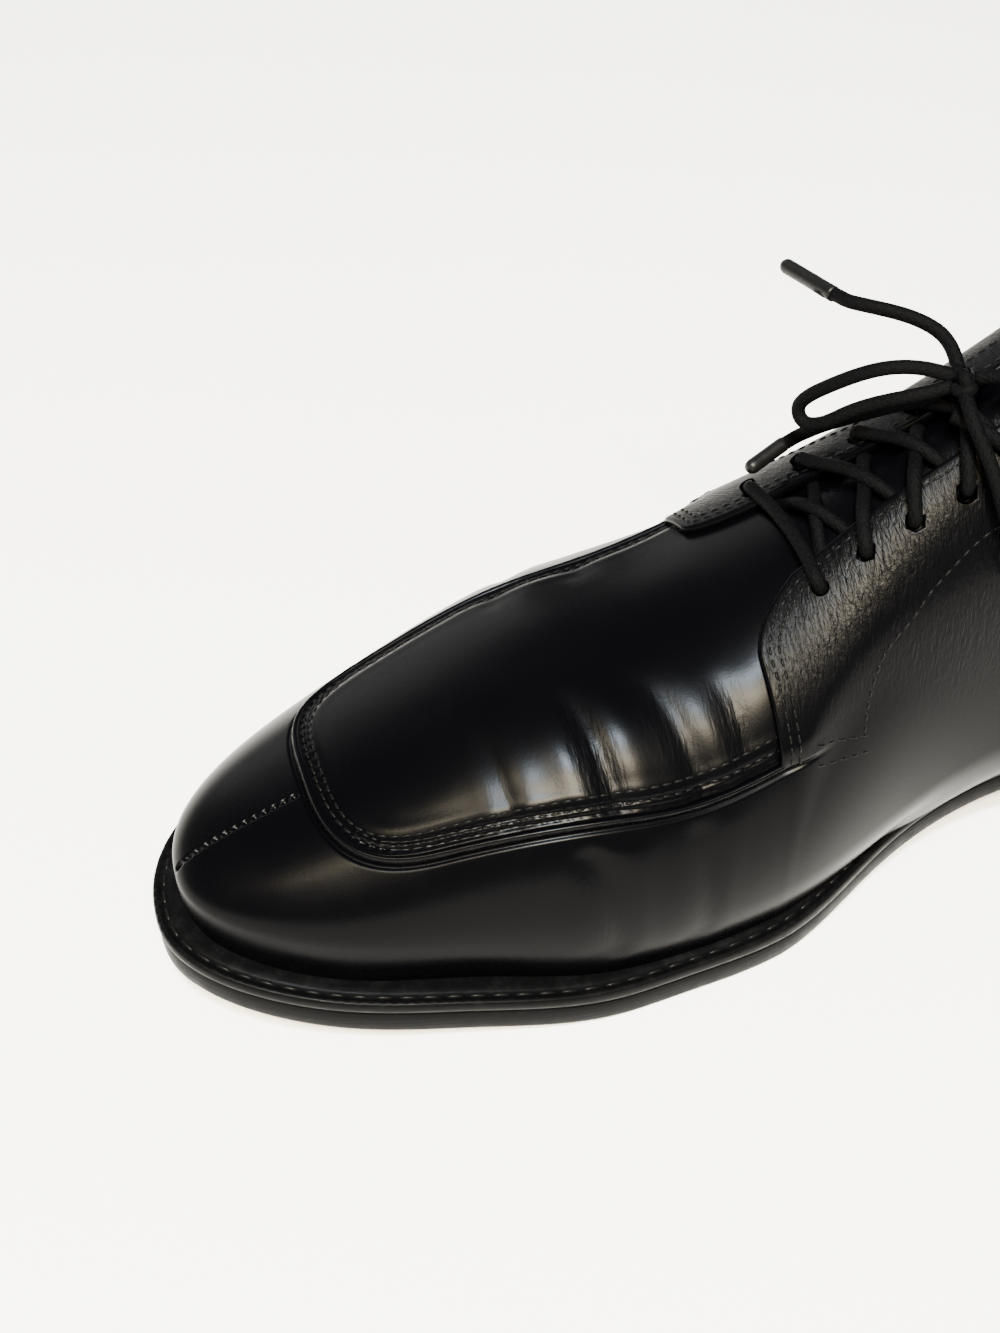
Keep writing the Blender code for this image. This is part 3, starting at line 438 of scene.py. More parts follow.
def lining(name, dark, light):
    """Vegetable tanned lining leather; painted shade makes it black under the eyelets."""
    m = Nodes(name)
    tone = m.noise(35.0, 3.0)
    normal = m.bump(m.noise(1500.0, 4.0, 0.65), 0.00008, 0.5)
    tan = m.colors(m.spread(tone, 0.3, 0.7, 0.0, 1.0), dark, light)
    # Painted shade: the lining turns black under the eyelet rows, where it shows through the holes.
    shaded = m.colors(m.attribute("painted_shade"), tan, (0.002, 0.002, 0.002))
    return m.finish(shaded, m.spread(tone, 0.3, 0.7, 0.45, 0.6), normal)


def cord_cotton(name):
    """Waxed cotton cord, braided: the threads run both ways round it."""
    m = Nodes(name)
    along = m.math("MULTIPLY", m.attribute("along"), 2 * math.pi / BRAID_PITCH)
    around = m.math("MULTIPLY", m.attribute("around"), 2 * math.pi * BRAID_THREADS)
    braid = m.math("MAXIMUM", *(m.math("SINE", m.math(way, along, around))
                                for way in ("ADD", "SUBTRACT")))
    fuzz = m.noise(2600.0, 3.0, 0.7)
    normal = m.bump(m.math("ADD", m.math("MULTIPLY", braid, 0.35), fuzz), 0.00016, 0.75)
    tone = m.colors(m.spread(fuzz, 0.4, 0.7, 0.0, 1.0), (0.0003, 0.0003, 0.0004),
                    (0.0014, 0.0015, 0.0018))
    return m.finish(tone, m.spread(fuzz, 0.3, 0.7, 0.55, 0.85), normal, 0.025)


def plain(name, tone, specular, grain, relief, strength, gloss):
    """A plain dark material: its grain's noise, how deep that is, and its range of roughness."""
    m = Nodes(name)
    fine = m.noise(*grain)
    return m.finish((tone, tone, tone), m.spread(fine, 0.3, 0.7, *gloss),
                    m.bump(fine, relief, strength), specular)


# ---- Mesh helpers.
def grid_faces(rows, cols, start=0):
    first = np.arange(rows - 1)[:, None] * cols + np.arange(cols - 1)[None] + start
    return np.stack([first, first + cols, first + cols + 1, first + 1], -1).reshape(-1, 4)


def grid_normals(grid):
    return unit(np.cross(np.gradient(grid, axis=0), np.gradient(grid, axis=1)))


def put_piece(name, verts, faces, mat, slot, node=None, values=None, weld=None):
    """One named mesh in the last's millimetres with values per point, and what it stands for.

    Points closer than weld are merged; with None the mesh is left as it is.
    """
    data = bpy.data.meshes.new(name)
    data.from_pydata(metres(verts).tolist(), [], faces)
    for key, numbers in (values or {}).items():
        layer = data.attributes.new(key, "FLOAT", "POINT")
        layer.data.foreach_set("value", numbers.astype("f4"))
    if weld is not None:
        work = bmesh.new()
        work.from_mesh(data)
        if weld:
            bmesh.ops.remove_doubles(work, verts=work.verts, dist=weld * MM)
        bmesh.ops.dissolve_degenerate(work, edges=work.edges, dist=1e-7)
        bmesh.ops.recalc_face_normals(work, faces=work.faces)
        work.to_mesh(data)
        work.free()
    data.shade_smooth()
    data.materials.append(mat)
    obj = bpy.data.objects.new(name, data)
    bpy.context.scene.collection.objects.link(obj)
    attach(obj, "root")
    if node:
        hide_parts(node)
    return obj


def add_grids(name, grids, mat, node, slot, values=None, weld=0.0, outward=None):
    """One mesh from several grids of points, facing outward, a rough direction from each point."""
    starts = np.cumsum([0] + [g.shape[0] * g.shape[1] for g in grids])
    faces = np.concatenate([grid_faces(*g.shape[:2], start) for g, start in zip(grids, starts)])
    joined = {key: np.concatenate([part.ravel() for part in parts])
              for key, parts in (values or {}).items()}
    obj = put_piece(name, np.concatenate([g.reshape(-1, 3) for g in grids]), faces.tolist(), mat,
                    slot, node, joined, weld)
    if outward and sum(face.normal.dot(outward(face.center)) * face.area
                       for face in list(obj.data.polygons)[::17]) < 0:
        obj.data.flip_normals()
    return obj


def join(parts):
    """Several sets of points, faces and values per point as one set."""
    starts = np.cumsum([0] + [len(part[0]) for part in parts]).tolist()
    faces = [[i + start for i in face] for part, start in zip(parts, starts) for face in part[1]]
    verts, *values = (np.concatenate([part[k] for part in parts])
                      for k in range(len(parts[0])) if k != 1)
    return verts, faces, values


def tube(points, radius, sides=14, taper=None):
    """Points, faces, and length and angle per point, of a round tube with closed ends."""
    points = np.asarray(points, float)
    angles = np.linspace(0, 2 * math.pi, sides, endpoint=False)
    lengths = path_length(points)
    tangents = unit(np.gradient(points, axis=0))
    side = np.cross(tangents[0], (0.3, 0.2, 0.9))
    rings = []
    for i, (p, t) in enumerate(zip(points, tangents)):
        side = unit(side - t * np.dot(side, t))
        r = radius * (1.0 if taper is None else taper[i])
        rings.append(p + r * (np.outer(np.cos(angles), side)
                              + np.outer(np.sin(angles), np.cross(t, side))))
    count = len(points)
    pairs = [(j, (j + 1) % sides) for j in range(sides)]
    last = (count - 1) * sides
    faces = [[i + j, i + k, i + sides + k, i + sides + j]
             for i in range(0, last, sides) for j, k in pairs]
    faces += [[last + sides, k, j] for j, k in pairs]
    faces += [[last + j, last + k, last + sides + 1] for j, k in pairs]
    along = np.append(np.repeat(lengths, sides), lengths[[0, -1]])
    around = np.append(np.abs(np.tile(angles / math.pi, count) - 1), (0.0, 0.0))
    return np.vstack(rings + [points[0], points[-1]]), faces, along, around


def add_tubes(name, tubes, mat, slot, node, weld=None):
    verts, faces, (along, around) = join(tubes)
    return put_piece(name, verts, faces, mat, slot, node, {"along": along, "around": around}, weld)


# ---- The apron seam and what stands on it.
SEAM_SPACING = 0.5
SEAM_BATCH = 4000


def seam_plan():
    """The apron seam in plan, from behind the inner flap round the front to the outer flap."""
    back = np.linspace(140, Y_APRON_CAP, 220)
    angle = np.linspace(0, math.pi, 400)
    across = -np.sign(np.cos(angle)) * np.abs(np.cos(angle)) ** (2 / APRON_PLUMP)
    ahead = np.sin(angle).clip(0, 1) ** (2 / APRON_PLUMP)
    cap_y = Y_APRON_CAP + (Y_APRON_FRONT - Y_APRON_CAP) * ahead
    left, right = LAST["seam_med"](cap_y), LAST["seam_lat"](cap_y)
    cap = np.column_stack([(left + right) / 2 + across * (right - left) / 2, cap_y])
    inner, outer = (np.column_stack([LAST[name](back), back]) for name in ("seam_med", "seam_lat"))
    return resample(np.vstack([inner[:-1], cap, outer[-2::-1]]), SEAM_SPACING)


SEAM = seam_plan()
SEAM_DOME = np.column_stack([SEAM, dome_height(SEAM[:, 0], SEAM[:, 1])])
SEAM_LENGTH = path_length(SEAM_DOME)


def seam_distance(grid):
    """Signed distance from the apron seam, positive outside it, and the place along it."""
    points = grid.reshape(-1, 3)
    distance, place = np.zeros((2, len(points)))
    for start in range(0, len(points), SEAM_BATCH):
        part = slice(start, start + SEAM_BATCH)
        gap = np.linalg.norm(points[part, None, :] - SEAM_DOME[None, :, :], axis=2)
        distance[part] = gap.min(axis=1)
        place[part] = SEAM_LENGTH[gap.argmin(axis=1)]
    outside = apron_field(points[:, 0], points[:, 1]) > 0
    shape = grid.shape[:2]
    return np.where(outside, distance, -distance).reshape(shape), place.reshape(shape)


BEAD_HEIGHT = 0.9
APRON_STITCH_ROWS = (1.95, 3.4)
APRON_STITCH_PITCH = 2.4


def seam_profile(distance, place):
    """Height over the last across the apron seam: bead, groove outside and stitch channels."""
    inside = smooth((0.9 - distance) / 1.8)
    bead = BEAD_HEIGHT * np.exp(-np.abs(distance / 0.8) ** 2.6)
    groove = -0.45 * np.exp(-((distance - 1.45) / 0.45) ** 2)
    pull = 0.6 + 0.4 * np.cos(2 * math.pi * place / APRON_STITCH_PITCH)
    rows = 0.0
    for row in APRON_STITCH_ROWS:
        rows = rows - 0.5 * pull * np.exp(-((distance + row) / 0.42) ** 2)
    puff = 0.16 * np.exp(-((distance + 5.6) / 1.3) ** 2)
    return APRON_LIFT * inside + bead + groove + rows + puff


# The folds of wear: where each starts and ends in plan, how deep it is and how wide.
CREASES = [
    # x0     y0     x1     y1    depth width fine
    [-10.0, 238.5, -33.0, 234.0, 0.26, 1.6, 0.35],
    [-9.0,  222.0, -37.0, 214.5, 0.70, 2.4, 1.00],
    [-12.0, 207.5, -37.5, 197.0, 0.50, 2.6, 0.50],
    [-19.0, 192.5, -37.0, 188.0, 0.30, 2.4, 0.70],
    [14.0,  224.0, 27.0,  220.0, 0.30, 2.6, 0.50],
    [13.0,  206.0, 27.5,  203.0, 0.30, 2.8, 0.50],
]
WALL_CREASES = [
    # x0     y0     x1     y1    depth width fine
    [-37.0, 227.0, -45.5, 214.0, 0.60, 2.0, 0.60],
    [-36.5, 203.0, -45.0, 196.5, 0.30, 2.4, 0.30],
    [29.0,  219.0, 50.0,  207.0, 0.45, 2.4, 0.50],
]


def crease_field(x, y, rows):
    """Depth of the folds at a plan position, and how wrinkled the leather is there."""
    depth = np.zeros_like(x)
    wrinkle = np.zeros_like(x)
    for x0, y0, x1, y1, deep, width, fine in rows:
        length = math.hypot(x1 - x0, y1 - y0)
        run = (x1 - x0) / length, (y1 - y0) / length
        t = ((x - x0) * run[0] + (y - y0) * run[1]) / length
        off = (y - y0) * run[0] - (x - x0) * run[1] - 0.7 * np.sin(t * 4.0)
        ends = smooth(t / 0.45) * smooth((1.25 - t) / 0.3)
        depth += -deep * ends * np.exp(-(off / width) ** 2)
        depth += 0.45 * deep * ends * np.exp(-((np.abs(off) - 2.4 * width) / (1.3 * width)) ** 2)
        wrinkle += fine * ends * np.exp(-((off + 0.8) / (1.5 * width)) ** 2)
    return depth, np.clip(wrinkle, 0, 1)


# ---- The ring of ribs that the side walls stand on.
RIB_SPACING = 1.1
# At the split seam the ribs stand SPLIT_STEP apart, and beyond SPLIT_REACH ever farther.
SPLIT_STEP = 0.22
SPLIT_REACH = 3.4
SPLIT_GROWTH = 0.12


def place_stations(last_station, spacing):
    """Stations from the tip (3) to the flap line, closer together at the split seam."""
    stations = np.concatenate([np.linspace(3, 2, 4000),
                               np.linspace(2, last_station, 600)[1:]])[::4]
    lengths = path_length(np.array([plan(-1, station, 1.0) for station in stations]))
    wanted = [0.0]
    while wanted[-1] < lengths[-1]:
        grown = SPLIT_STEP + SPLIT_GROWTH * max(wanted[-1] - SPLIT_REACH, 0.0)
        wanted.append(wanted[-1] + min(spacing, grown))
    wanted = wanted[:-1]
    if lengths[-1] - wanted[-1] < 0.4 * spacing:
        wanted = wanted[:-1]
    return np.append(np.interp(wanted, lengths, stations), last_station)


FLAP_STATION = straight_station(Y_FLAP)
FRONT = place_stations(FLAP_STATION, RIB_SPACING)
REAR_Y = np.concatenate([np.linspace(*stretch)[1:] for stretch in (
    (Y_FLAP, 174, 13), (174, 115, 54), (115, 97, 37), (97, Y_HEEL_CAP, 52))])
REAR = np.concatenate([straight_station(REAR_Y), np.linspace(1, 0, 46)[1:]])
# Side and station of each rib: over the toe, round the heel, and right round the shoe.
FRONT_RING = [(1, s) for s in FRONT[::-1]] + [(-1, s) for s in FRONT[1:]]
REAR_RING = ([(-1, FLAP_STATION)] + [(-1, s) for s in REAR] + [(1, s) for s in REAR[-2::-1]]
             + [(1, FLAP_STATION)])
RING = ([(-1, s) for s in REAR[::-1]] + [(-1, s) for s in FRONT[::-1]]
        + [(1, s) for s in FRONT[1:]] + [(1, s) for s in REAR])

# Levels up a rib: shares of the wall below the seam, then lengths near it and over the bead.
NEAR = 2.8
WALL_SHARES = np.concatenate([np.linspace(0, 0.12, 7), np.linspace(0.12, 1, 84)[1:]])
NEAR_STEPS = np.arange(-NEAR, 0.01, 0.2)
BEAD_STEPS = np.arange(0.2, 1.41, 0.2)
UPPER_SHARES = np.concatenate([np.linspace(0, 0.72, 22), np.linspace(0.72, 1.0, 14)[1:]])
SPLIT_PITCH = 2.0
# The free edge: how round it is, and how far the leather is turned in behind it.
EDGE_BULGE = 0.75
EDGE_TURN_IN = 2.5


def wall_levels(side, station):
    """A rib's points and lengths, the places of its levels, and where seam and free edge lie."""
    points = rib(side, station)
    lengths = path_length(points)
    front = station >= FLAP_STATION - 1e-9
    top = lengths[-1]
    if station >= 1 and not front:
        top = flap_top(side, points, lengths)
    if station_y(station) < Y_COLLAR_ENDS:
        top = min(top, crossing(lengths, COLLAR(points[:, 1]) - points[:, 2]))
    seam = top * 0.6
    if station >= 1:
        seam = crossing(lengths, apron_field(points[:, 0], points[:, 1]))
        if not front:
            seam = float(np.clip(seam, top * 0.5, top * 0.72))
    places = np.concatenate([(seam - NEAR) * WALL_SHARES, seam + NEAR_STEPS[1:]])
    return points, lengths, places, seam, top


def flap_top(side, points, lengths):
    """Where a rib meets the facing's edge."""
    return crossing(lengths, side * (points[:, 0] - facing_edge(points[:, 1], side)))


def rear_levels(side, station):
    """The same for a rib of the rear ring, whose first and last ribs end at the facing too."""
    points, lengths, places, seam, top = wall_levels(side, station)
    if station >= FLAP_STATION:
        top = flap_top(side, points, lengths)
    return points, lengths, places, seam, top


def split_height(x, y):
    """The seam down the middle of the toe: a fine groove, pulled deeper at each stitch."""
    off = np.abs(x - LAST["spine"](y))
    ahead = smooth((y - Y_APRON_FRONT - 0.5) / 2.0)
    pull = 0.5 + 0.5 * np.cos(2 * math.pi * y / SPLIT_PITCH)
    groove = -0.15 * np.exp(-(off / 0.4) ** 2)
    dents = -0.7 * smooth((pull - 0.2) / 0.5) * np.exp(-(off / 0.6) ** 4)
    return (groove + dents) * ahead


def flap_height(x, y, y0, side):
    """How far the quarters and the facings' flaps stand over the last."""
    start = 12 + 16 * np.exp(-(Y_FLAP - y0) / 9)
    off_edge = side * (x - facing_edge(y, side))
    return FLAP_LIFT * (1 - smooth((off_edge - start) / 8)) * smooth((y0 - 80) / 10)


def wall_relief(grid, clear):
    """On the walls: the distance from the seam, its profile, the folds of wear and wrinkles."""
    distance, place = seam_distance(grid)
    crease, wrinkle = crease_field(grid[..., 0], grid[..., 1], WALL_CREASES)
    share = smooth((distance - clear) / 5.0)
    share = share * smooth((grid[..., 2] - LAST["seat"](grid[..., 1]) - 2.0) / 8.0)
    return distance, seam_profile(distance, place), crease * share, wrinkle * share * 0.6


def rolled_edge(skin, normals, level):
    """The free edge round the flaps, facings and collar, and rows that roll the leather over it."""
    upper = slice(level, None)

    def border(grid, inside=0):
        return np.vstack([grid[inside, upper][:-1], grid[:, -1 - inside],
                          grid[-1 - inside, upper][-2::-1]])

    edge, normal = border(skin), border(normals)
    outward = unit(np.cross(normal, np.gradient(edge, axis=0)))
    outward *= np.sign((outward * (edge - border(skin, 3))).sum())
    for _ in range(3):
        outward[1:-1] = (outward[:-2] + 2 * outward[1:-1] + outward[2:]) / 4
        outward = unit(outward)
    rolled = [edge - normal * (WALL / 2) * (1 - math.cos(a))
              + outward * EDGE_BULGE * max(math.sin(a), 0.0) ** 0.7
              for a in np.linspace(0, math.pi, 9)]
    return edge, np.array(rolled + [rolled[-1] - outward * EDGE_TURN_IN])


def build_side_skin(mat):
    """Vamp and quarters, one skin: side walls, bead and split seam in front, flaps behind."""
    front, rear, above = [], [], []
    for side, station in FRONT_RING:
        points, lengths, places, seam, top = wall_levels(side, station)
        front.append(at_places(points, lengths, np.append(places, seam + BEAD_STEPS)))
    for side, station in REAR_RING:
        points, lengths, places, seam, top = rear_levels(side, station)
        over = (top - seam) * UPPER_SHARES[1:]
        rear.append(at_places(points, lengths, np.append(places, seam + over)))
        above.append(np.append(np.full(len(places), -1.0), over))
    front, rear, above = np.array(front), np.array(rear), np.array(above)
    y0 = np.array([station_y(max(station, 1)) for side, station in REAR_RING])[:, None]
    sides = np.array([side for side, station in REAR_RING])[:, None]
    front_normals, rear_normals = grid_normals(front), grid_normals(rear)
    walls = len(WALL_SHARES) + len(NEAR_STEPS) - 1
    # Both families share the ribs at the flap line, so there they share the normals too.
    for ours, theirs in ((-1, 0), (0, -1)):
        shared = unit(front_normals[ours, :walls] + rear_normals[theirs, :walls])
        front_normals[ours, :walls] = rear_normals[theirs, :walls] = shared

    distance, lift, crease, wrinkle = wall_relief(front, 2.0)
    lift = lift + split_height(front[..., 0], front[..., 1]) + crease
    lift -= smooth((-distance - 0.7) / 0.6)
    lift[:, 0] = 0
    front_skin = front + front_normals * lift[..., None]

    distance, bead, crease, rear_wrinkle = wall_relief(rear, 0.0)
    x, y, z = np.moveaxis(rear, -1, 0)
    flap = np.where(sides < 0, flap_height(x, y, y0, -1), flap_height(x, y, y0, 1))
    blend = np.maximum(smooth((Y_FLAP - y0) / 12), smooth(above / 2.2))
    rear_lift = flap * blend + bead * (1 - blend) + crease
    rear_lift[:, 0] = 0
    for ours, theirs in ((-1, 0), (0, -1)):
        rear_lift[theirs, :walls] = lift[ours, :walls]
    rear_skin = rear + rear_normals * rear_lift[..., None]
    edge, rolled = rolled_edge(rear_skin, rear_normals, walls - 1)

    # Where the leather is worn: at the facings and along the fold lines.
    facing = np.where(sides < 0, THROAT["med"](y) - x, x - THROAT["lat"](y))
    lines = smooth((30 - facing) / 18) * smooth((y0 - 92) / 30) * smooth((z - 44) / 26)
    plain_front, plain_edge = np.zeros(front.shape[:2]), np.zeros(rolled.shape[:2])
    values = {"wrinkle": [wrinkle, rear_wrinkle, plain_edge],
              "lines": [plain_front, lines, plain_edge],
              "worn": [wrinkle, np.clip(lines + rear_wrinkle, 0, 1), plain_edge]}
    skin = add_grids("upper_skin", [front_skin, rear_skin, rolled], mat, "upper", "black_calf",
                     values, 0.02, lambda c: Vector((c.x * 2, 0, c.z - 0.02)))
    return skin, edge


# ---- The plug and the tongue: one continuous piece.
PLUG_INSET = 0.55
PLUG_CORNER = 7.0
Y_PLUG = 181.0
Y_TONGUE_ENDS = 172.0


def tongue_edges(y):
    corner = np.clip((Y_TONGUE_TOP + 9 - y) / 9, 0, 1)
    shorten = 9 * (1 - np.sqrt(1 - corner ** 2))
    return THROAT["med"](y) - TONGUE_OVERLAP + shorten, THROAT["lat"](y) + TONGUE_OVERLAP - shorten


def fine_shares(length, coarse, both):
    """Shares of a length, finely spaced near its end, or near both ends."""
    near = 6.0
    end = np.arange(0, near + 1e-6, 0.3)
    middle_length = length - near * (2 if both else 1)
    middle = np.linspace(0, middle_length, max(int(middle_length / coarse), 4))
    if both:
        middle = np.concatenate([end, near + middle[1:]])
    return np.clip(np.concatenate([middle, length - end[-2::-1]]) / length, 0, 1)


def plug_patch():
    """Plan positions over the plug and the tongue, spread between their four border lines."""
    inset = offset_plan(SEAM, PLUG_INSET)
    half = len(inset) // 2
    cap_y = Y_APRON_FRONT - PLUG_CORNER
    cap_left = int(np.argmin(np.abs(SEAM[:half, 1] - cap_y)))
    cap_right = half + int(np.argmin(np.abs(SEAM[half:, 1] - cap_y)))
    back_y = np.linspace(Y_TONGUE_TOP + 0.02, Y_TONGUE_ENDS, 120)
    left, right = tongue_edges(back_y)
    front_line = inset[cap_left:cap_right + 1]
    left_seam, right_seam = inset[:cap_left + 1], inset[cap_right:][::-1]
    left_line, right_line = (np.vstack([np.column_stack([x, back_y]), seam[seam[:, 1] > Y_PLUG]])
                             for x, seam in ((left, left_seam), (right, right_seam)))
    v, u = fine_shares(170.0, 0.75, False), fine_shares(60.0, 0.8, True)

    def along(line, shares):
        lengths = path_length(line)
        return at_places(line, lengths, shares * lengths[-1])

    left, right, front = along(left_line, v), along(right_line, v), along(front_line, u)
    back = left[0] + (right[0] - left[0]) * u[:, None]
    u, v = u[None, :, None], v[:, None, None]
    return ((1 - u) * left[:, None] + u * right[:, None] + (1 - v) * back[None] + v * front[None]
            - (1 - u) * (1 - v) * left[0] - u * (1 - v) * right[0]
            - (1 - u) * v * left[-1] - u * v * right[-1])


def build_plug(mat):
    """The apron's plug, from the bead back under the flaps, where it narrows to the tongue."""
    x, y = np.moveaxis(plug_patch(), -1, 0)
    distance, place = seam_distance(np.stack([x, y, dome_height(x, y)], -1))
    distance = -np.abs(distance)
    crease, wrinkle = crease_field(x, y, CREASES)
    inside = smooth((-distance - 0.8) / 3.0)
    lift = seam_profile(distance, place) + crease * (0.35 + 0.65 * inside)
    # Behind the flaps' front edge the piece drops under the facings.
    pull = np.where(x < X_THROAT_MIDDLE, corner_pull(x, -1), corner_pull(x, 1))
    under = smooth((Y_FLAP - pull + 0.5 - y) / 5.0)
    side = np.minimum(x - THROAT["med"](y), THROAT["lat"](y) - x)
    tongue_lift = -TONGUE_DEPTH - 0.5 * smooth((114 - y) / 8) + 0.25 * smooth(side / 6)
    lift = lift * (1 - under) + tongue_lift * under
    bow = 0.35 * np.sin(y * 0.09) * np.sin(x * 0.12 + 0.6)
    lift = lift + bow * smooth((Y_FLAP - 8 - y) / 10) * smooth(side / 8)
    points = on_dome(x, y, lift)
    for border in (points[:, 0], points[:, -1], points[-1]):
        border[:, 2] -= 0.5
    lines = smooth((168 - y) / 15) * 0.8
    values = {"wrinkle": [wrinkle * inside], "lines": [lines],
              "worn": [np.clip(0.6 * wrinkle + 0.5 * lines, 0, 1)]}
    plug = add_grids("plug_and_tongue", [points], mat, "tongue", "black_tongue_calf", values,
                     outward=lambda c: Vector((0, 0, 1)))
    thick = plug.modifiers.new("thickness", "SOLIDIFY")
    thick.thickness = TONGUE_THICKNESS * MM * 0.9
    thick.offset = -1
    return plug


# ---- Linings.
def build_lining(mat):
    front, rear = [], []
    for side, station in FRONT_RING[::3] + FRONT_RING[-1:]:
        points = rib(side, station, 260)
        lengths = path_length(points)
        front.append(at_places(points, lengths, np.linspace(0, lengths[-1], 26)))
    for side, station in REAR_RING[::2] + REAR_RING[-1:]:
        points, lengths, places, seam, top = rear_levels(side, station)
        rear.append(at_places(points, lengths, np.linspace(0, top - 0.2, 30)))
    grids, painted_shades = [], []
    for grid in (np.array(front), np.array(rear)):
        grid = grid - grid_normals(grid) * (WALL + 0.05)
        x, y, z = np.moveaxis(grid, -1, 0)
        gap = np.minimum(np.abs(x - THROAT["med"](y)), np.abs(x - THROAT["lat"](y)))
        grids.append(grid)
        # Painted shade: a mask near the facings' edges, under the eyelet rows, that turns the
        # lining black.
        painted_shades.append(smooth((15 - gap) / 1.5) * smooth((y - 112) / 4) * smooth((z - 50) / 5))
    add_grids("lining", grids, mat, None, "tan_lining_leather", {"painted_shade": painted_shades},
              outward=lambda c: Vector((-c.x, 0, 0.03 - c.z)))


# ---- Sole, welt, heel and sock.
RING_SIDE = np.array([side for side, station in RING])
RING_PLAN = np.array([plan(side, station, 1.0) for side, station in RING])
RING_MIDDLE = np.array([plan(side, station, 0.0) for side, station in RING])


def ring_outward():
    """The plan direction outward at each rib."""
    closed = np.vstack([RING_PLAN[-2], RING_PLAN, RING_PLAN[1]])
    run = closed[2:] - closed[:-2]
    return unit(np.column_stack([-run[:, 1], run[:, 0]]))


RING_OUTWARD = ring_outward()


def ring_values(name):
    """A column with an inner and an outer value, round the ring."""
    y = RING_PLAN[:, 1]
    return np.where(RING_SIDE < 0, LAST[name + "_med"](y), LAST[name + "_lat"](y))


EDGE_LINE = RING_PLAN + RING_OUTWARD * ring_values("edge")[:, None]
TUCK_LINE = RING_PLAN - RING_OUTWARD * ring_values("tuck")[:, None]
EDGE_LENGTH = path_length(EDGE_LINE)


def sole_height(y):
    return np.maximum(LAST["sole"](y), 0.0)


def welt_top(y):
    return LAST["seat"](y) - GAP


WHEEL_PITCH = 2.25      # between the notches of the welt's rim
WHEEL_DEPTH = 0.7
HEEL_CENTRE = np.array([1.0, 32.0])
HEEL_LIFTS = 3
BREAST_CORNER = 0.8
BREAST_HOLLOW = 1.6
HEEL_LOW_INSET = 1.9
HEEL_HIGH_INSET = 0.9
TOP_LIFT_INSET = 2.2
HEEL_WELD = 0.005


def edge_row(out, height):
    """A row of points round the sole's edge, moved outward, at the given heights."""
    return np.column_stack([EDGE_LINE + RING_OUTWARD * out, height])


def build_sole(edge_mat, welt_mat, tread_mat):
    """The outsole's edge and tread, and the welt."""
    inset = -OUTSOLE_INSET
    ground = sole_height(EDGE_LINE[:, 1])
    body = [edge_row(inset + out, ground + rise) for out, rise in (
        (-1.0, 0.0), (-0.45, 0.12), (-0.12, 0.5), (0.0, 1.1), (0.12, 2.4), (0.12, 3.8), (0.0, 5.2),
        (-0.2, 5.75), (-0.6, 6.05), (-1.4, OUTSOLE_THICKNESS), (-9.0, OUTSOLE_THICKNESS))]
    add_grids("outsole_edge", [np.array(body)], edge_mat, "outsole", "black_sole_leather")
    under = []
    for share in np.linspace(1, 0, 24):
        flat = RING_MIDDLE + (body[0][:, :2] - RING_MIDDLE) * share
        under.append(np.column_stack([flat, sole_height(flat[:, 1])]))
    add_grids("outsole_tread", [np.array(under)], tread_mat, "outsole", "black_sole_leather",
              outward=lambda c: Vector((0, 0, -1)))

    # The welt: a wheeled rim outside, the stitch channel, and the shelf that runs in under.
    y = RING_PLAN[:, 1]
    notch = 0.5 + 0.5 * np.cos(2 * math.pi * EDGE_LENGTH / WHEEL_PITCH)
    notch = notch * smooth((y - Y_HEEL_BREAST + 4) / 8) * WHEEL_DEPTH
    bottom, top = sole_height(y) + OUTSOLE_THICKNESS + GAP, welt_top(y)
    rows = [edge_row(out, bottom + (top - bottom) * share) for out, share in (
        (-1.6, 0.0), (-0.35, 0.0), (-0.05, 0.12), (0.08, 0.4), (0.05, 0.7))]
    rows += [edge_row(out, top + rise - wheel * notch) for out, rise, wheel in (
        (-0.12, -0.25, 0.1), (-0.4, 0.12, 0.35), (-0.85, 0.2, 0.4), (-1.2, 0.0, 0.2),
        (-1.5, -0.28, 0.0), (-1.9, -0.38, 0.0), (-2.6, -0.38, 0.0), (-3.0, -0.2, 0.0),
        (-3.4, 0.0, 0.0), (-4.4, 0.03, 0.0), (-6.0, 0.0, 0.0), (-9.5, 0.0, 0.0))]
    return add_grids("welt_strip", [np.array(rows)], welt_mat, "welt", "black_welt_leather")


def heel_loop(inset):
    """The heel's plan: round the back, and straight across at the breast."""
    breast = Y_HEEL_BREAST - BREAST_CORNER
    rim = EDGE_LINE - RING_OUTWARD * inset
    ends = []
    for side in (1, -1):
        one = rim[RING_SIDE == side]
        one = one[np.argsort(one[:, 1])]
        ends.append(np.array([np.interp(breast, one[:, 1], one[:, 0]), breast]))
    near = np.array([station for side, station in RING]) <= straight_station(Y_HEEL_BREAST)
    round_back = np.vstack([rim[near & (RING_SIDE > 0)], rim[near & (RING_SIDE < 0)]])
    round_back = round_back[round_back[:, 1] < breast]
    share = np.linspace(0, 1, 22)[:, None]
    left, right = ends[1] + (1.0, BREAST_CORNER), ends[0] + (-1.0, BREAST_CORNER)
    front = left + (right - left) * share
    front[:, 1] -= BREAST_HOLLOW * np.sin(math.pi * share[:, 0])
    return np.vstack([ends[0], round_back, ends[1], front, ends[0]])


def toward_centre(loop, share, height):
    """The loop drawn in to a share of its size about the heel's centre."""
    flat = HEEL_CENTRE + (loop[:, :2] - HEEL_CENTRE) * share
    return np.column_stack([flat, height(flat[:, 1]) if callable(height)
                            else np.full(len(flat), height)])


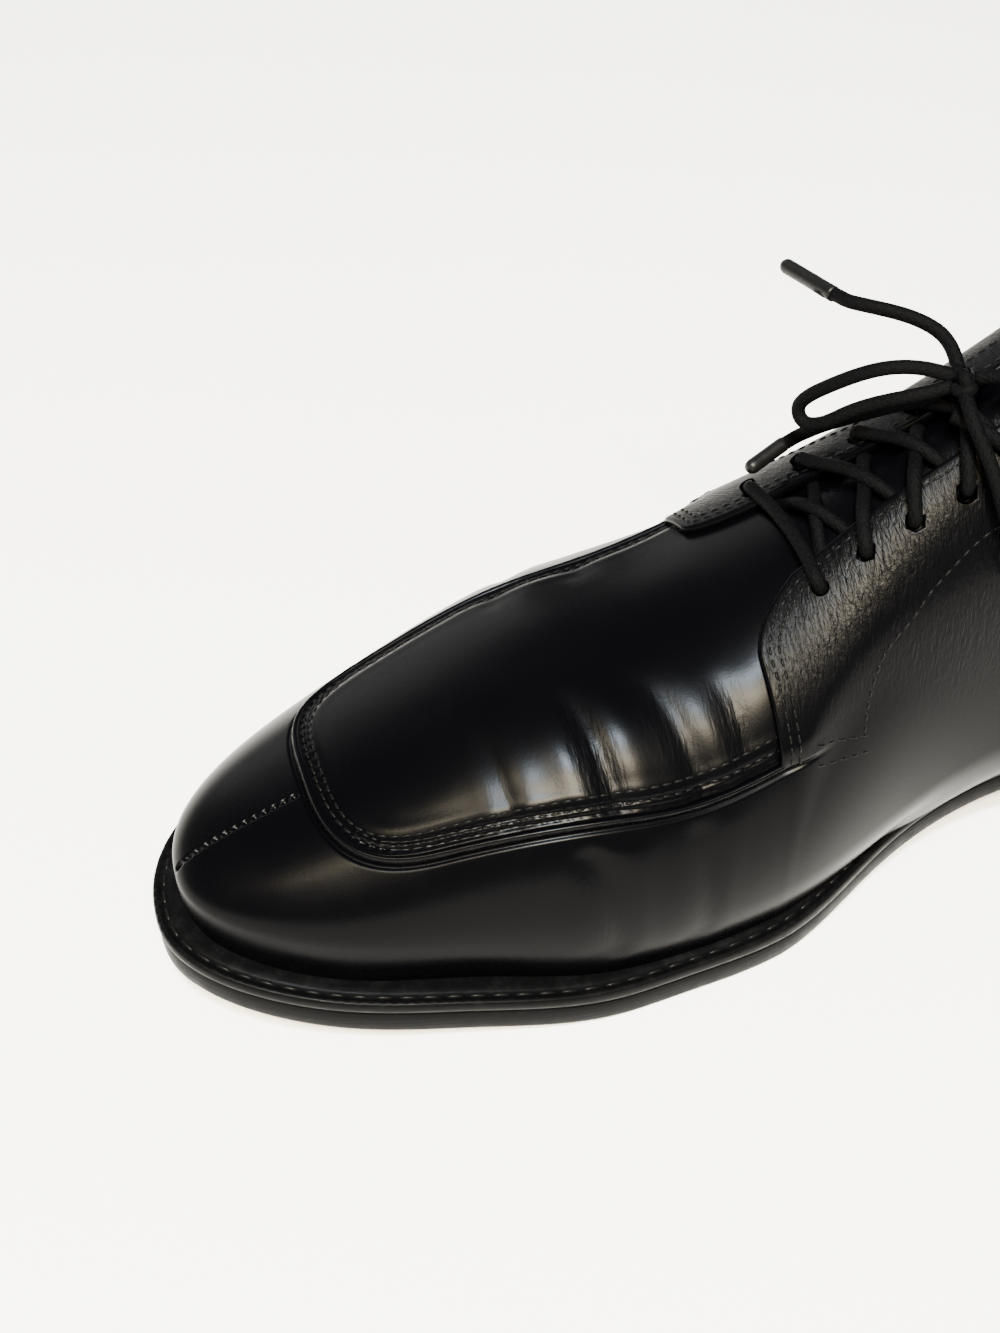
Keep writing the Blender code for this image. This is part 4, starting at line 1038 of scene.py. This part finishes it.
def build_heel(base_mat, lift_mat):
    """The stacked block, with a fine joint at each lift, and the rubber layer under it."""
    loop_low, loop_high = heel_loop(HEEL_LOW_INSET), heel_loop(HEEL_HIGH_INSET)
    low = TOP_LIFT_THICKNESS + GAP

    def under_sole(y):
        return sole_height(y) - GAP

    rows = []
    for index in range(HEEL_LIFTS):
        for inside, part in ((0.35, 0.0), (0.05, 0.06), (0.0, 0.2), (0.0, 0.8), (0.05, 0.94),
                             (0.35, 1.0)):
            share = (index + part) / HEEL_LIFTS
            flat = loop_low + (loop_high - loop_low) * share
            flat = flat + unit(HEEL_CENTRE - flat) * inside
            rows.append(np.column_stack([flat, low + (under_sole(flat[:, 1]) - low) * share]))
    rows = ([toward_centre(rows[0], share, low) for share in (0.0, 0.5, 0.97)] + rows
            + [toward_centre(rows[-1], share, under_sole) for share in (0.8, 0.32, 0.0)])
    add_grids("heel_stack", [np.array(rows)], base_mat, "heel_base", "black_stacked_leather",
              weld=HEEL_WELD)
    loop = heel_loop(TOP_LIFT_INSET)
    inward = unit(HEEL_CENTRE - loop)
    rows = [toward_centre(loop, share, 0.0) for share in (0.0, 0.5, 0.985)]
    rows += [np.column_stack([loop + inward * inside, np.full(len(loop), z)]) for inside, z in (
        (0.1, 0.25), (0.0, 0.8), (0.0, 3.6), (0.25, 3.75), (0.25, 3.95), (0.0, 4.1), (0.0, 5.3),
        (0.2, 5.85))]
    rows += [toward_centre(loop, share, TOP_LIFT_THICKNESS) for share in (0.97, 0.5, 0.0)]
    add_grids("heel_top_lift", [np.array(rows)], lift_mat, "top_lift", "black_rubber",
              weld=HEEL_WELD)


def build_sock(mat):
    """The sock over the insole, its rim turned up a little to the lining."""
    rim = TUCK_LINE - RING_OUTWARD * (WALL + 0.1)
    rows = []
    for share in np.linspace(1, 0, 22):
        flat = RING_MIDDLE + (rim - RING_MIDDLE) * share
        bowl = 0.9 * smooth((share - 0.75) / 0.25)
        height = LAST["seat"](flat[:, 1]) + INSOLE_THICKNESS + 0.05 + bowl
        rows.append(np.column_stack([flat, height]))
    add_grids("insole_sock", [np.array(rows)], mat, "insole", "tan_lining_leather",
              outward=lambda c: Vector((0, 0, 1)))


# ---- Stitches.
STITCHES = {
    # where     pitch               long wide  high  sunk
    "apron":   (APRON_STITCH_PITCH, 2.0, 0.62, 0.55, 0.02),
    "split":   (SPLIT_PITCH,        1.1, 0.40, 0.35, 0.30),
    "edge":    (2.5,                1.9, 0.55, 0.50, 0.02),
    "quarter": (2.5,                1.9, 0.50, 0.45, 0.03),
    "welt":    (4.6,                3.5, 1.00, 0.80, 0.05),
}
# A stitch's rings: their place along it, their size, and how far they rise.
STITCH_RINGS = ((-0.5, 0.25, 0.0), (-0.42, 0.7, 0.6), (-0.2, 1.0, 0.95), (0.0, 1.0, 1.0),
                (0.2, 1.0, 0.95), (0.42, 0.7, 0.6), (0.5, 0.25, 0.0))
STITCH_SIDES = 6
Y_STITCHED_SEAM = 176.0
EDGE_STITCH_ROWS = (1.5, 3.3)
SECOND_ROW_REACH = 46.0
EYESTAY_LINE = [(-33.4, 163.7), (-32.0, 163.2), (-28.8, 161.3), (-26.6, 158.9),
                (-24.4, 153.8), (-23.0, 151.0), (-21.2, 145.6), (-20.0, 141.2), (-19.1, 134.8),
                (-18.6, 126.0), (-18.4, 116.0), (-18.6, 110.0)]
BAR_LINES = [[(-34.1, 175.1), (-33.3, 162.5)], [(-36.0, 174.8), (-34.2, 162.2)]]
OUTER_NARROWING = 0.82


def surface_of(obj):
    """A lookup of the nearest surface point and normal, in the last's millimetres."""
    data = obj.data
    verts = [(np.array(v.co) / MM + ORIGIN).tolist() for v in data.vertices]
    return BVHTree.FromPolygons(verts, [tuple(p.vertices) for p in data.polygons])


def stitch_row(route, surface, pitch, long, wide, high, sink):
    """Small rounded stitches laid along a route, each turned to the surface under it."""
    lengths = path_length(route)
    count = max(int(lengths[-1] / pitch), 1)
    around = np.linspace(0, 2 * math.pi, STITCH_SIDES + 1)[:-1]
    pairs = [(j, (j + 1) % STITCH_SIDES) for j in range(STITCH_SIDES)]
    faces = [[i + j, i + k, i + STITCH_SIDES + k, i + STITCH_SIDES + j]
             for i in range(0, (len(STITCH_RINGS) - 1) * STITCH_SIDES, STITCH_SIDES)
             for j, k in pairs]
    parts = []
    for middle in (np.arange(count) + 0.5) * lengths[-1] / count:
        ends = at_places(route, lengths, [middle - pitch / 3, middle + pitch / 3])
        spot, normal = (np.array(v) for v in surface.find_nearest(Vector(ends.mean(axis=0)))[:2])
        run = ends[1] - ends[0]
        run = unit(run - normal * np.dot(run, normal))
        side = np.cross(normal, run)
        rings = [spot + run * t * long + np.outer(np.cos(around) * wide / 2 * size, side)
                 + np.outer(np.sin(around) * high / 2 * size
                            + high * (0.35 * raised - 0.25) - sink, normal)
                 for t, size, raised in STITCH_RINGS]
        parts.append((np.concatenate(rings), faces))
    return join(parts)[:2]


def add_stitches(name, surface, routes, mat, slot):
    """One mesh of all the stitches along the routes, each given with its kind."""
    rows = [stitch_row(route, surface, *STITCHES[kind]) for kind, route in routes]
    put_piece(name, *join(rows)[:2], mat, slot)


def offset_plan(line, distance):
    """The plan line moved to the side; positive is to the right of its direction."""
    run = np.gradient(line, axis=0)
    return line + unit(np.column_stack([run[:, 1], -run[:, 0]])) * distance


def over_dome(line, lift):
    return on_dome(*line.T, np.full(len(line), lift))


def build_stitching(skin, plug, edge, welt, mat):
    seam = SEAM[SEAM[:, 1] > Y_STITCHED_SEAM]
    routes = [("apron", over_dome(offset_plan(seam, inset), 0.5)) for inset in APRON_STITCH_ROWS]
    add_stitches("stitches_apron", surface_of(plug), routes, mat, "black_calf")

    surface = surface_of(skin)
    tip_y = np.linspace(Y_APRON_FRONT + 1.6, LAST_LENGTH - 0.2, 60)
    route = over_dome(np.column_stack([LAST["spine"](tip_y), tip_y]), 0.0)
    down = route[-1] - np.outer(np.linspace(1.5, 22, 15), (0, 0, 1))
    add_stitches("stitches_split", surface, [("split", np.vstack([route, down]))], mat,
                 "black_calf")

    lengths = path_length(edge)
    first, second = (inset_line(edge, surface, inset) for inset in EDGE_STITCH_ROWS)
    routes = [("edge", first), ("edge", second[lengths < SECOND_ROW_REACH]),
              ("edge", second[lengths > lengths[-1] - SECOND_ROW_REACH])]
    for side in (-1, 1):
        for line in [EYESTAY_LINE] + BAR_LINES:
            x, y = np.transpose(line)
            if side > 0:
                x = facing_edge(y, 1) + (facing_edge(y, -1) - x) * OUTER_NARROWING
            routes.append(("quarter", smooth_route(over_dome(np.column_stack([x, y]), 2.0), 0.5)))
    add_stitches("stitches_quarters", surface, routes, mat, "black_calf")

    line = edge_row(-2.25, welt_top(RING_PLAN[:, 1]) - 0.2)
    routes = [("welt", line[RING_PLAN[:, 1] > Y_HEEL_BREAST - 2])]
    add_stitches("stitches_welt", surface_of(welt), routes, mat, "black_welt_leather")


def inset_line(edge, surface, inset):
    """The rim line moved in over the surface by a distance."""
    normals = np.array([surface.find_nearest(Vector(p))[1] for p in edge])
    for _ in range(4):
        normals[1:-1] = (normals[:-2] + normals[1:-1] * 2 + normals[2:]) / 4
        normals = unit(normals)
    side = unit(np.cross(normals, unit(np.gradient(edge, axis=0))))
    # Into the leather is away from the throat's middle.
    probe = len(edge) // 8
    inward = side[probe][0] * (edge[probe][0] - X_THROAT_MIDDLE)
    return edge + side * inset * (1.0 if inward > 0 else -1.0)


# ---- Holes for the lace.
def eyelet_place(side, row):
    y = EYELET_ROWS_Y[row]
    return float(facing_edge(y, side)) + side * EYELET_INSET[side], y


def hole_axes():
    """Each eyelet's lower and upper end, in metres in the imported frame."""
    axes = []
    for row in range(len(EYELET_ROWS_Y)):
        for side in (-1, 1):
            place = eyelet_place(side, row)
            axes.append((metres(on_dome(*place, -0.8)), metres(on_dome(*place, 4.5))))
    return axes


def cut_holes(skin):
    """Cuts the eyelets through the skin, and clears what is left of it inside them."""
    radius = EYELET_RADIUS * MM
    work = bmesh.new()
    for low, high in hole_axes():
        axis = Vector(high - low)
        made = bmesh.ops.create_cone(work, cap_ends=True, segments=24, radius1=radius,
                                     radius2=radius, depth=axis.length)
        turn = Vector((0, 0, 1)).rotation_difference(axis).to_matrix()
        bmesh.ops.rotate(work, verts=made["verts"], cent=(0, 0, 0), matrix=turn)
        bmesh.ops.translate(work, verts=made["verts"], vec=Vector((low + high) / 2))
    data = bpy.data.meshes.new("hole_cutter")
    work.to_mesh(data)
    work.free()
    cutter = bpy.data.objects.new("hole_cutter", data)
    bpy.context.scene.collection.objects.link(cutter)
    modifier = skin.modifiers.new("holes", "BOOLEAN")
    modifier.operation = "DIFFERENCE"
    modifier.solver = "FAST"
    modifier.object = cutter
    graph = bpy.context.evaluated_depsgraph_get()
    skin.data = bpy.data.meshes.new_from_object(skin.evaluated_get(graph))
    skin.modifiers.clear()
    bpy.data.objects.remove(cutter)
    work = bmesh.new()
    work.from_mesh(skin.data)
    faces = list(work.faces)
    centres = np.array([face.calc_center_median() for face in faces])
    inside = np.zeros(len(faces), bool)
    for low, high in hole_axes():
        axis = (high - low) / np.linalg.norm(high - low)
        off = centres - low
        along = off @ axis
        away = np.linalg.norm(off - along[:, None] * axis, axis=1)
        inside |= (away < radius * 0.93) & (along > -0.002) & (along < 0.008)
    bmesh.ops.delete(work, geom=[faces[i] for i in np.nonzero(inside)[0]], context="FACES")
    work.to_mesh(skin.data)
    work.free()


# ---- The floor and the studio's light.
LIGHTS = [
    # name      place                target            size         power  colour
    ("gold",    (-1.25, 0.42, 1.75), (0, 0.05, 0.03),  (0.7, 0.3),  270.0, (1.0, 0.86, 0.62)),
    ("toe",     (-0.72, 1.08, 1.78), (0, 0.05, 0.03),  (0.3, 0.3),  48.0,  (1.0, 0.84, 0.56)),
    ("sky",     (-0.84, 0.42, 1.98), (0, 0.05, 0.03),  (0.3, 0.3),  190.0, (0.74, 0.87, 1.0)),
    ("far",     (2.2, 0.5, 0.9),     (0, 0.05, 0.05),  (1.2, 1.0),  12.0,  (1.0, 1.0, 1.0)),
]
FLOOR_HALF = 4.0


def add_floor_and_lights():
    data = bpy.data.meshes.new("floor")
    corners = [(x * FLOOR_HALF, y * FLOOR_HALF, 0) for x, y in ((-1, -1), (1, -1), (1, 1), (-1, 1))]
    data.from_pydata(corners, [], [(0, 1, 2, 3)])
    m = Nodes("pale_floor")
    tone = m.colors(m.noise(3.0, 2.0), (0.86, 0.86, 0.87), (0.9, 0.9, 0.9))
    data.materials.append(m.finish(tone, 0.75))
    floor = bpy.data.objects.new("floor", data)
    floor.location = (0, 0, -0.0002)
    bpy.context.scene.collection.objects.link(floor)
    world = bpy.data.worlds.new("studio")
    world.use_nodes = True
    back = world.node_tree.nodes["Background"]
    back.inputs["Color"].default_value = (0.95, 0.97, 1.0, 1)
    back.inputs["Strength"].default_value = 0.5
    bpy.context.scene.world = world
    for name, place, target, size, power, color in LIGHTS:
        light = bpy.data.lights.new(name, "AREA")
        light.shape = "RECTANGLE"
        light.size, light.size_y = size
        light.energy = power
        light.color = color
        obj = bpy.data.objects.new(name, light)
        obj.location = place
        toward = Vector(target) - Vector(place)
        obj.rotation_euler = toward.to_track_quat("-Z", "Y").to_euler()
        bpy.context.scene.collection.objects.link(obj)


# ---- The lace, on the same routes as in the source of the solids, with ends run into the knot.
LACE_SPACING = 0.7
KNOT_PLACE = (-3.2, 138.9, 111.3)
LOOP_TOE_ROUTE = [
    (-2.0, 140.4, 112.0), (-0.9, 142.6, 112.6), (3.2, 150.8, 112.4), (6.4, 155.6, 109.6),
    (9.9, 159.9, 105.4), (12.5, 162.6, 101.6), (13.2, 163.3, 98.9), (11.9, 162.7, 96.9),
    (9.2, 160.7, 97.5), (6.0, 157.6, 101.2), (3.0, 153.0, 104.8), (-0.6, 147.8, 107.9),
    (-2.5, 142.8, 109.8), (-3.0, 140.8, 110.5),
]
LOOP_SIDE_ROUTE = [
    (-4.7, 137.1, 112.7), (-5.9, 135.5, 113.5), (-11.4, 131.7, 114.6), (-19.2, 128.0, 109.8),
    (-25.4, 125.3, 100.0), (-29.9, 124.7, 88.7), (-31.6, 127.4, 81.4), (-30.2, 131.4, 80.4),
    (-27.6, 134.7, 85.6), (-23.8, 137.2, 94.2), (-18.4, 139.4, 102.8), (-11.6, 140.6, 108.4),
    (-7.8, 140.1, 110.0), (-5.9, 139.7, 110.5),
]
END_TOE_ROUTE = [
    (-0.6, 141.2, 107.6), (0.8, 143.2, 105.6), (2.6, 147.2, 103.9), (6.0, 151.3, 100.8),
    (9.6, 154.4, 97.4), (13.7, 157.0, 93.4), (17.2, 158.2, 89.8), (18.7, 159.9, 87.7),
    (18.5, 161.9, 86.9),
]
END_SIDE_ROUTE = [
    (-0.4, 138.4, 112.1), (1.2, 138.4, 113.5), (5.8, 139.2, 116.0), (8.8, 141.8, 117.4),
    (13.0, 146.6, 118.2), (17.4, 151.2, 118.0), (20.4, 153.0, 117.6), (22.8, 153.6, 117.3),
]
AGLET_TOE_ROUTE = [(18.4, 162.4, 86.8), (15.0, 171.4, 84.6)]
AGLET_SIDE_ROUTE = [(23.3, 153.8, 117.2), (38.2, 157.6, 116.2)]
AGLET_WALL = 0.15
CORD_IN_AGLET = 0.93
# The knot's turns: radii along x, y and z, tilt, shift, and the start and sweep in degrees.
KNOT_TURNS = [
    ((1.4, 1.9, 0.2), 82.0, (-0.9, 0.2, 0.0), 20, 330),
    ((1.3, 1.7, 0.2), 70.0, (1.5, 0.0, -0.2), 200, 320),
    ((3.0, 1.5, 0.5), 8.0, (0.0, 0.3, -0.4), 100, 300),
]
# Heights of the lace over the last: over a facing's edge, in a hole, and under the facing.
OVER = FLAP_LIFT + LACE_RADIUS
UNDER = -0.55


def declare_cord(path):
    """Moves the cord's path into metres, and does nothing more with it."""
    path = metres(path)


def build_bow(mat, tip_mat):
    knot = build_knot(mat)
    slot = "black_waxed_lace"
    for name, route in (("toe", AGLET_TOE_ROUTE), ("side", AGLET_SIDE_ROUTE)):
        line = resample(np.array(route), 0.6)
        taper = np.ones(len(line))
        taper[-2:] = 0.9, 0.62
        add_tubes(f"tip_{name}", [tube(line, LACE_RADIUS + AGLET_WALL, 18, taper)],
                                 tip_mat, "black_lace_tip", f"aglet_{name}", 0.0)
    for name, route in (("lace_loop_toe", LOOP_TOE_ROUTE), ("lace_loop_side", LOOP_SIDE_ROUTE)):
        path = smooth_route(route, LACE_SPACING)
        loop = add_tubes(f"{name}_cord", [tube(path, LACE_RADIUS)], mat, slot, name, 0.0)
        declare_cord(path)
    for name, route, tip in (("toe", END_TOE_ROUTE, AGLET_TOE_ROUTE),
                             ("side", END_SIDE_ROUTE, AGLET_SIDE_ROUTE)):
        tip = np.array(tip)
        shares = np.array([[0.0], [CORD_IN_AGLET / 2], [CORD_IN_AGLET]])
        path = smooth_route(np.vstack([route, tip[0] + (tip[1] - tip[0]) * shares]), LACE_SPACING)
        end = add_tubes(f"lace_end_{name}_cord", [tube(path, LACE_RADIUS)], mat, slot,
                        f"lace_end_{name}", 0.0)
        declare_cord(path)


def build_knot(mat):
    """The half hitch that holds the bow: turns of lace round the crossing."""
    tubes = []
    for radii, tilt, shift, start, sweep in KNOT_TURNS:
        t = np.linspace(math.radians(start), math.radians(start + sweep), 40)
        x, y, z = (r * wave for r, wave in zip(radii, (np.cos(t), np.sin(t), np.sin(2 * t + 0.7))))
        c, s = math.cos(math.radians(tilt)), math.sin(math.radians(tilt))
        ring = np.column_stack([x, c * y - s * z, s * y + c * z])
        tubes.append(tube(np.array(KNOT_PLACE) + shift + ring, LACE_RADIUS * 0.93, 12))
    return add_tubes("lace_knot_turns", tubes, mat, "black_waxed_lace", "lace_knot")


def lace_path(stops):
    """A smooth lace route from plan positions and heights over the last."""
    return smooth_route(on_dome(*np.array(stops, float).T), LACE_SPACING)


def between(start, end, share, height):
    """A stop at a share of the way from one plan position to another."""
    return (start[0] + (end[0] - start[0]) * share, start[1] + (end[1] - start[1]) * share, height)


def out_of_hole(place, side, ahead):
    """The stops from under a hole up and over its inner rim."""
    return [(*place, UNDER), (*place, 1.4), (place[0] - side * 0.5, place[1] + ahead, OVER - 0.1)]


def build_lacing(mat):
    """The lace through the holes: a straight bar first, then from each hole over to the next."""
    holes = {(side, row): eyelet_place(side, row) for side in (-1, 1)
             for row in range(len(EYELET_ROWS_Y))}
    far, near = holes[(1, 0)], holes[(-1, 0)]
    bar = [(*far, UNDER), (*far, 1.6), (far[0] - 0.5, far[1], OVER - 0.2)]
    bar += [between(far, near, share, OVER + 0.1 - 1.3 * math.sin(math.pi * share))
            for share in (0.12, 0.35, 0.5, 0.65, 0.88)]
    bar += [(near[0] + 0.5, near[1], OVER - 0.2), (*near, 1.6), (*near, UNDER)]
    paths = [bar]
    # Under the facings from the first pair, crossing low over the tongue to the second holes.
    for side, low in ((-1, 1.05), (1, 2.55)):
        start, end = holes[(side, 0)], holes[(-side, 1)]
        paths.append([between(start, end, share, height) for share, height in (
            (0.0, UNDER), (0.2, UNDER), (0.5, low), (0.8, UNDER), (1.0, UNDER))])
    # Up through each hole, over the facing's edge, and down under the other facing.
    for row in range(1, 4):
        for side in (-1, 1):
            start, end = holes[(side, row)], holes[(-side, row + 1)]
            over = (facing_edge(start[1], side) - start[0]) / (end[0] - start[0])
            dive = (facing_edge(end[1], -side) - start[0]) / (end[0] - start[0])
            middle = 1.3 if side < 0 else 3.5
            paths.append(out_of_hole(start, side, -0.3) + [
                between(start, end, share, height) for share, height in (
                    (over * 0.6, OVER), (over * 1.05, OVER - 0.3), ((over + dive) / 2, middle),
                    (dive - 0.06, 0.9), (dive + 0.08, UNDER), (0.93, UNDER), (1.0, UNDER))])
    # From the top pair into the knot.
    for side in (-1, 1):
        start = holes[(side, 4)]
        end = KNOT_PLACE[0] + side * 2.2, KNOT_PLACE[1] - 0.6
        paths.append(out_of_hole(start, side, 0.3)
                     + [between(start, end, 0.4, OVER + 0.4), (*end, OVER + 1.4)])
    add_tubes("lace_through_holes", [tube(lace_path(path), LACE_RADIUS) for path in paths], mat,
              "black_waxed_lace", "lace_bars")


def build_scene():
    add_camera()
    lace = cord_cotton("waxed_cotton")
    build_bow(lace, plain("lace_tip", 0.0015, 0.12, (700.0, 3.0), 0.00006, 0.35, (0.35, 0.5)))
    build_lacing(lace)
    leather = calf("polished_calf")
    thread = plain("waxed_thread", 0.002, 0.04, (4000.0, 2.0), 0.00005, 0.6, (0.3, 0.45))
    skin, rim = build_side_skin(leather)
    plug = build_plug(leather)
    build_lining(lining("lining_leather", (0.36, 0.22, 0.12), (0.48, 0.31, 0.18)))
    edge = sole_edge("waxed_edge", (0.0009, 0.0009, 0.001), 0.4, 0.35)
    welt = build_sole(edge, sole_edge("welt_leather", (0.001, 0.001, 0.0011), 0.38, 0.6),
                      sole_edge("sole_leather", (0.02, 0.018, 0.016), 0.55, 0.8))
    build_heel(edge, plain("heel_rubber", 0.003, 0.05, (1300.0, 3.0, 0.7), 0.00012, 0.5,
                           (0.6, 0.8)))
    build_sock(lining("sock_leather", (0.4, 0.25, 0.14), (0.5, 0.33, 0.19)))
    build_stitching(skin, plug, rim, welt, thread)
    cut_holes(skin)
    add_floor_and_lights()


build_scene()
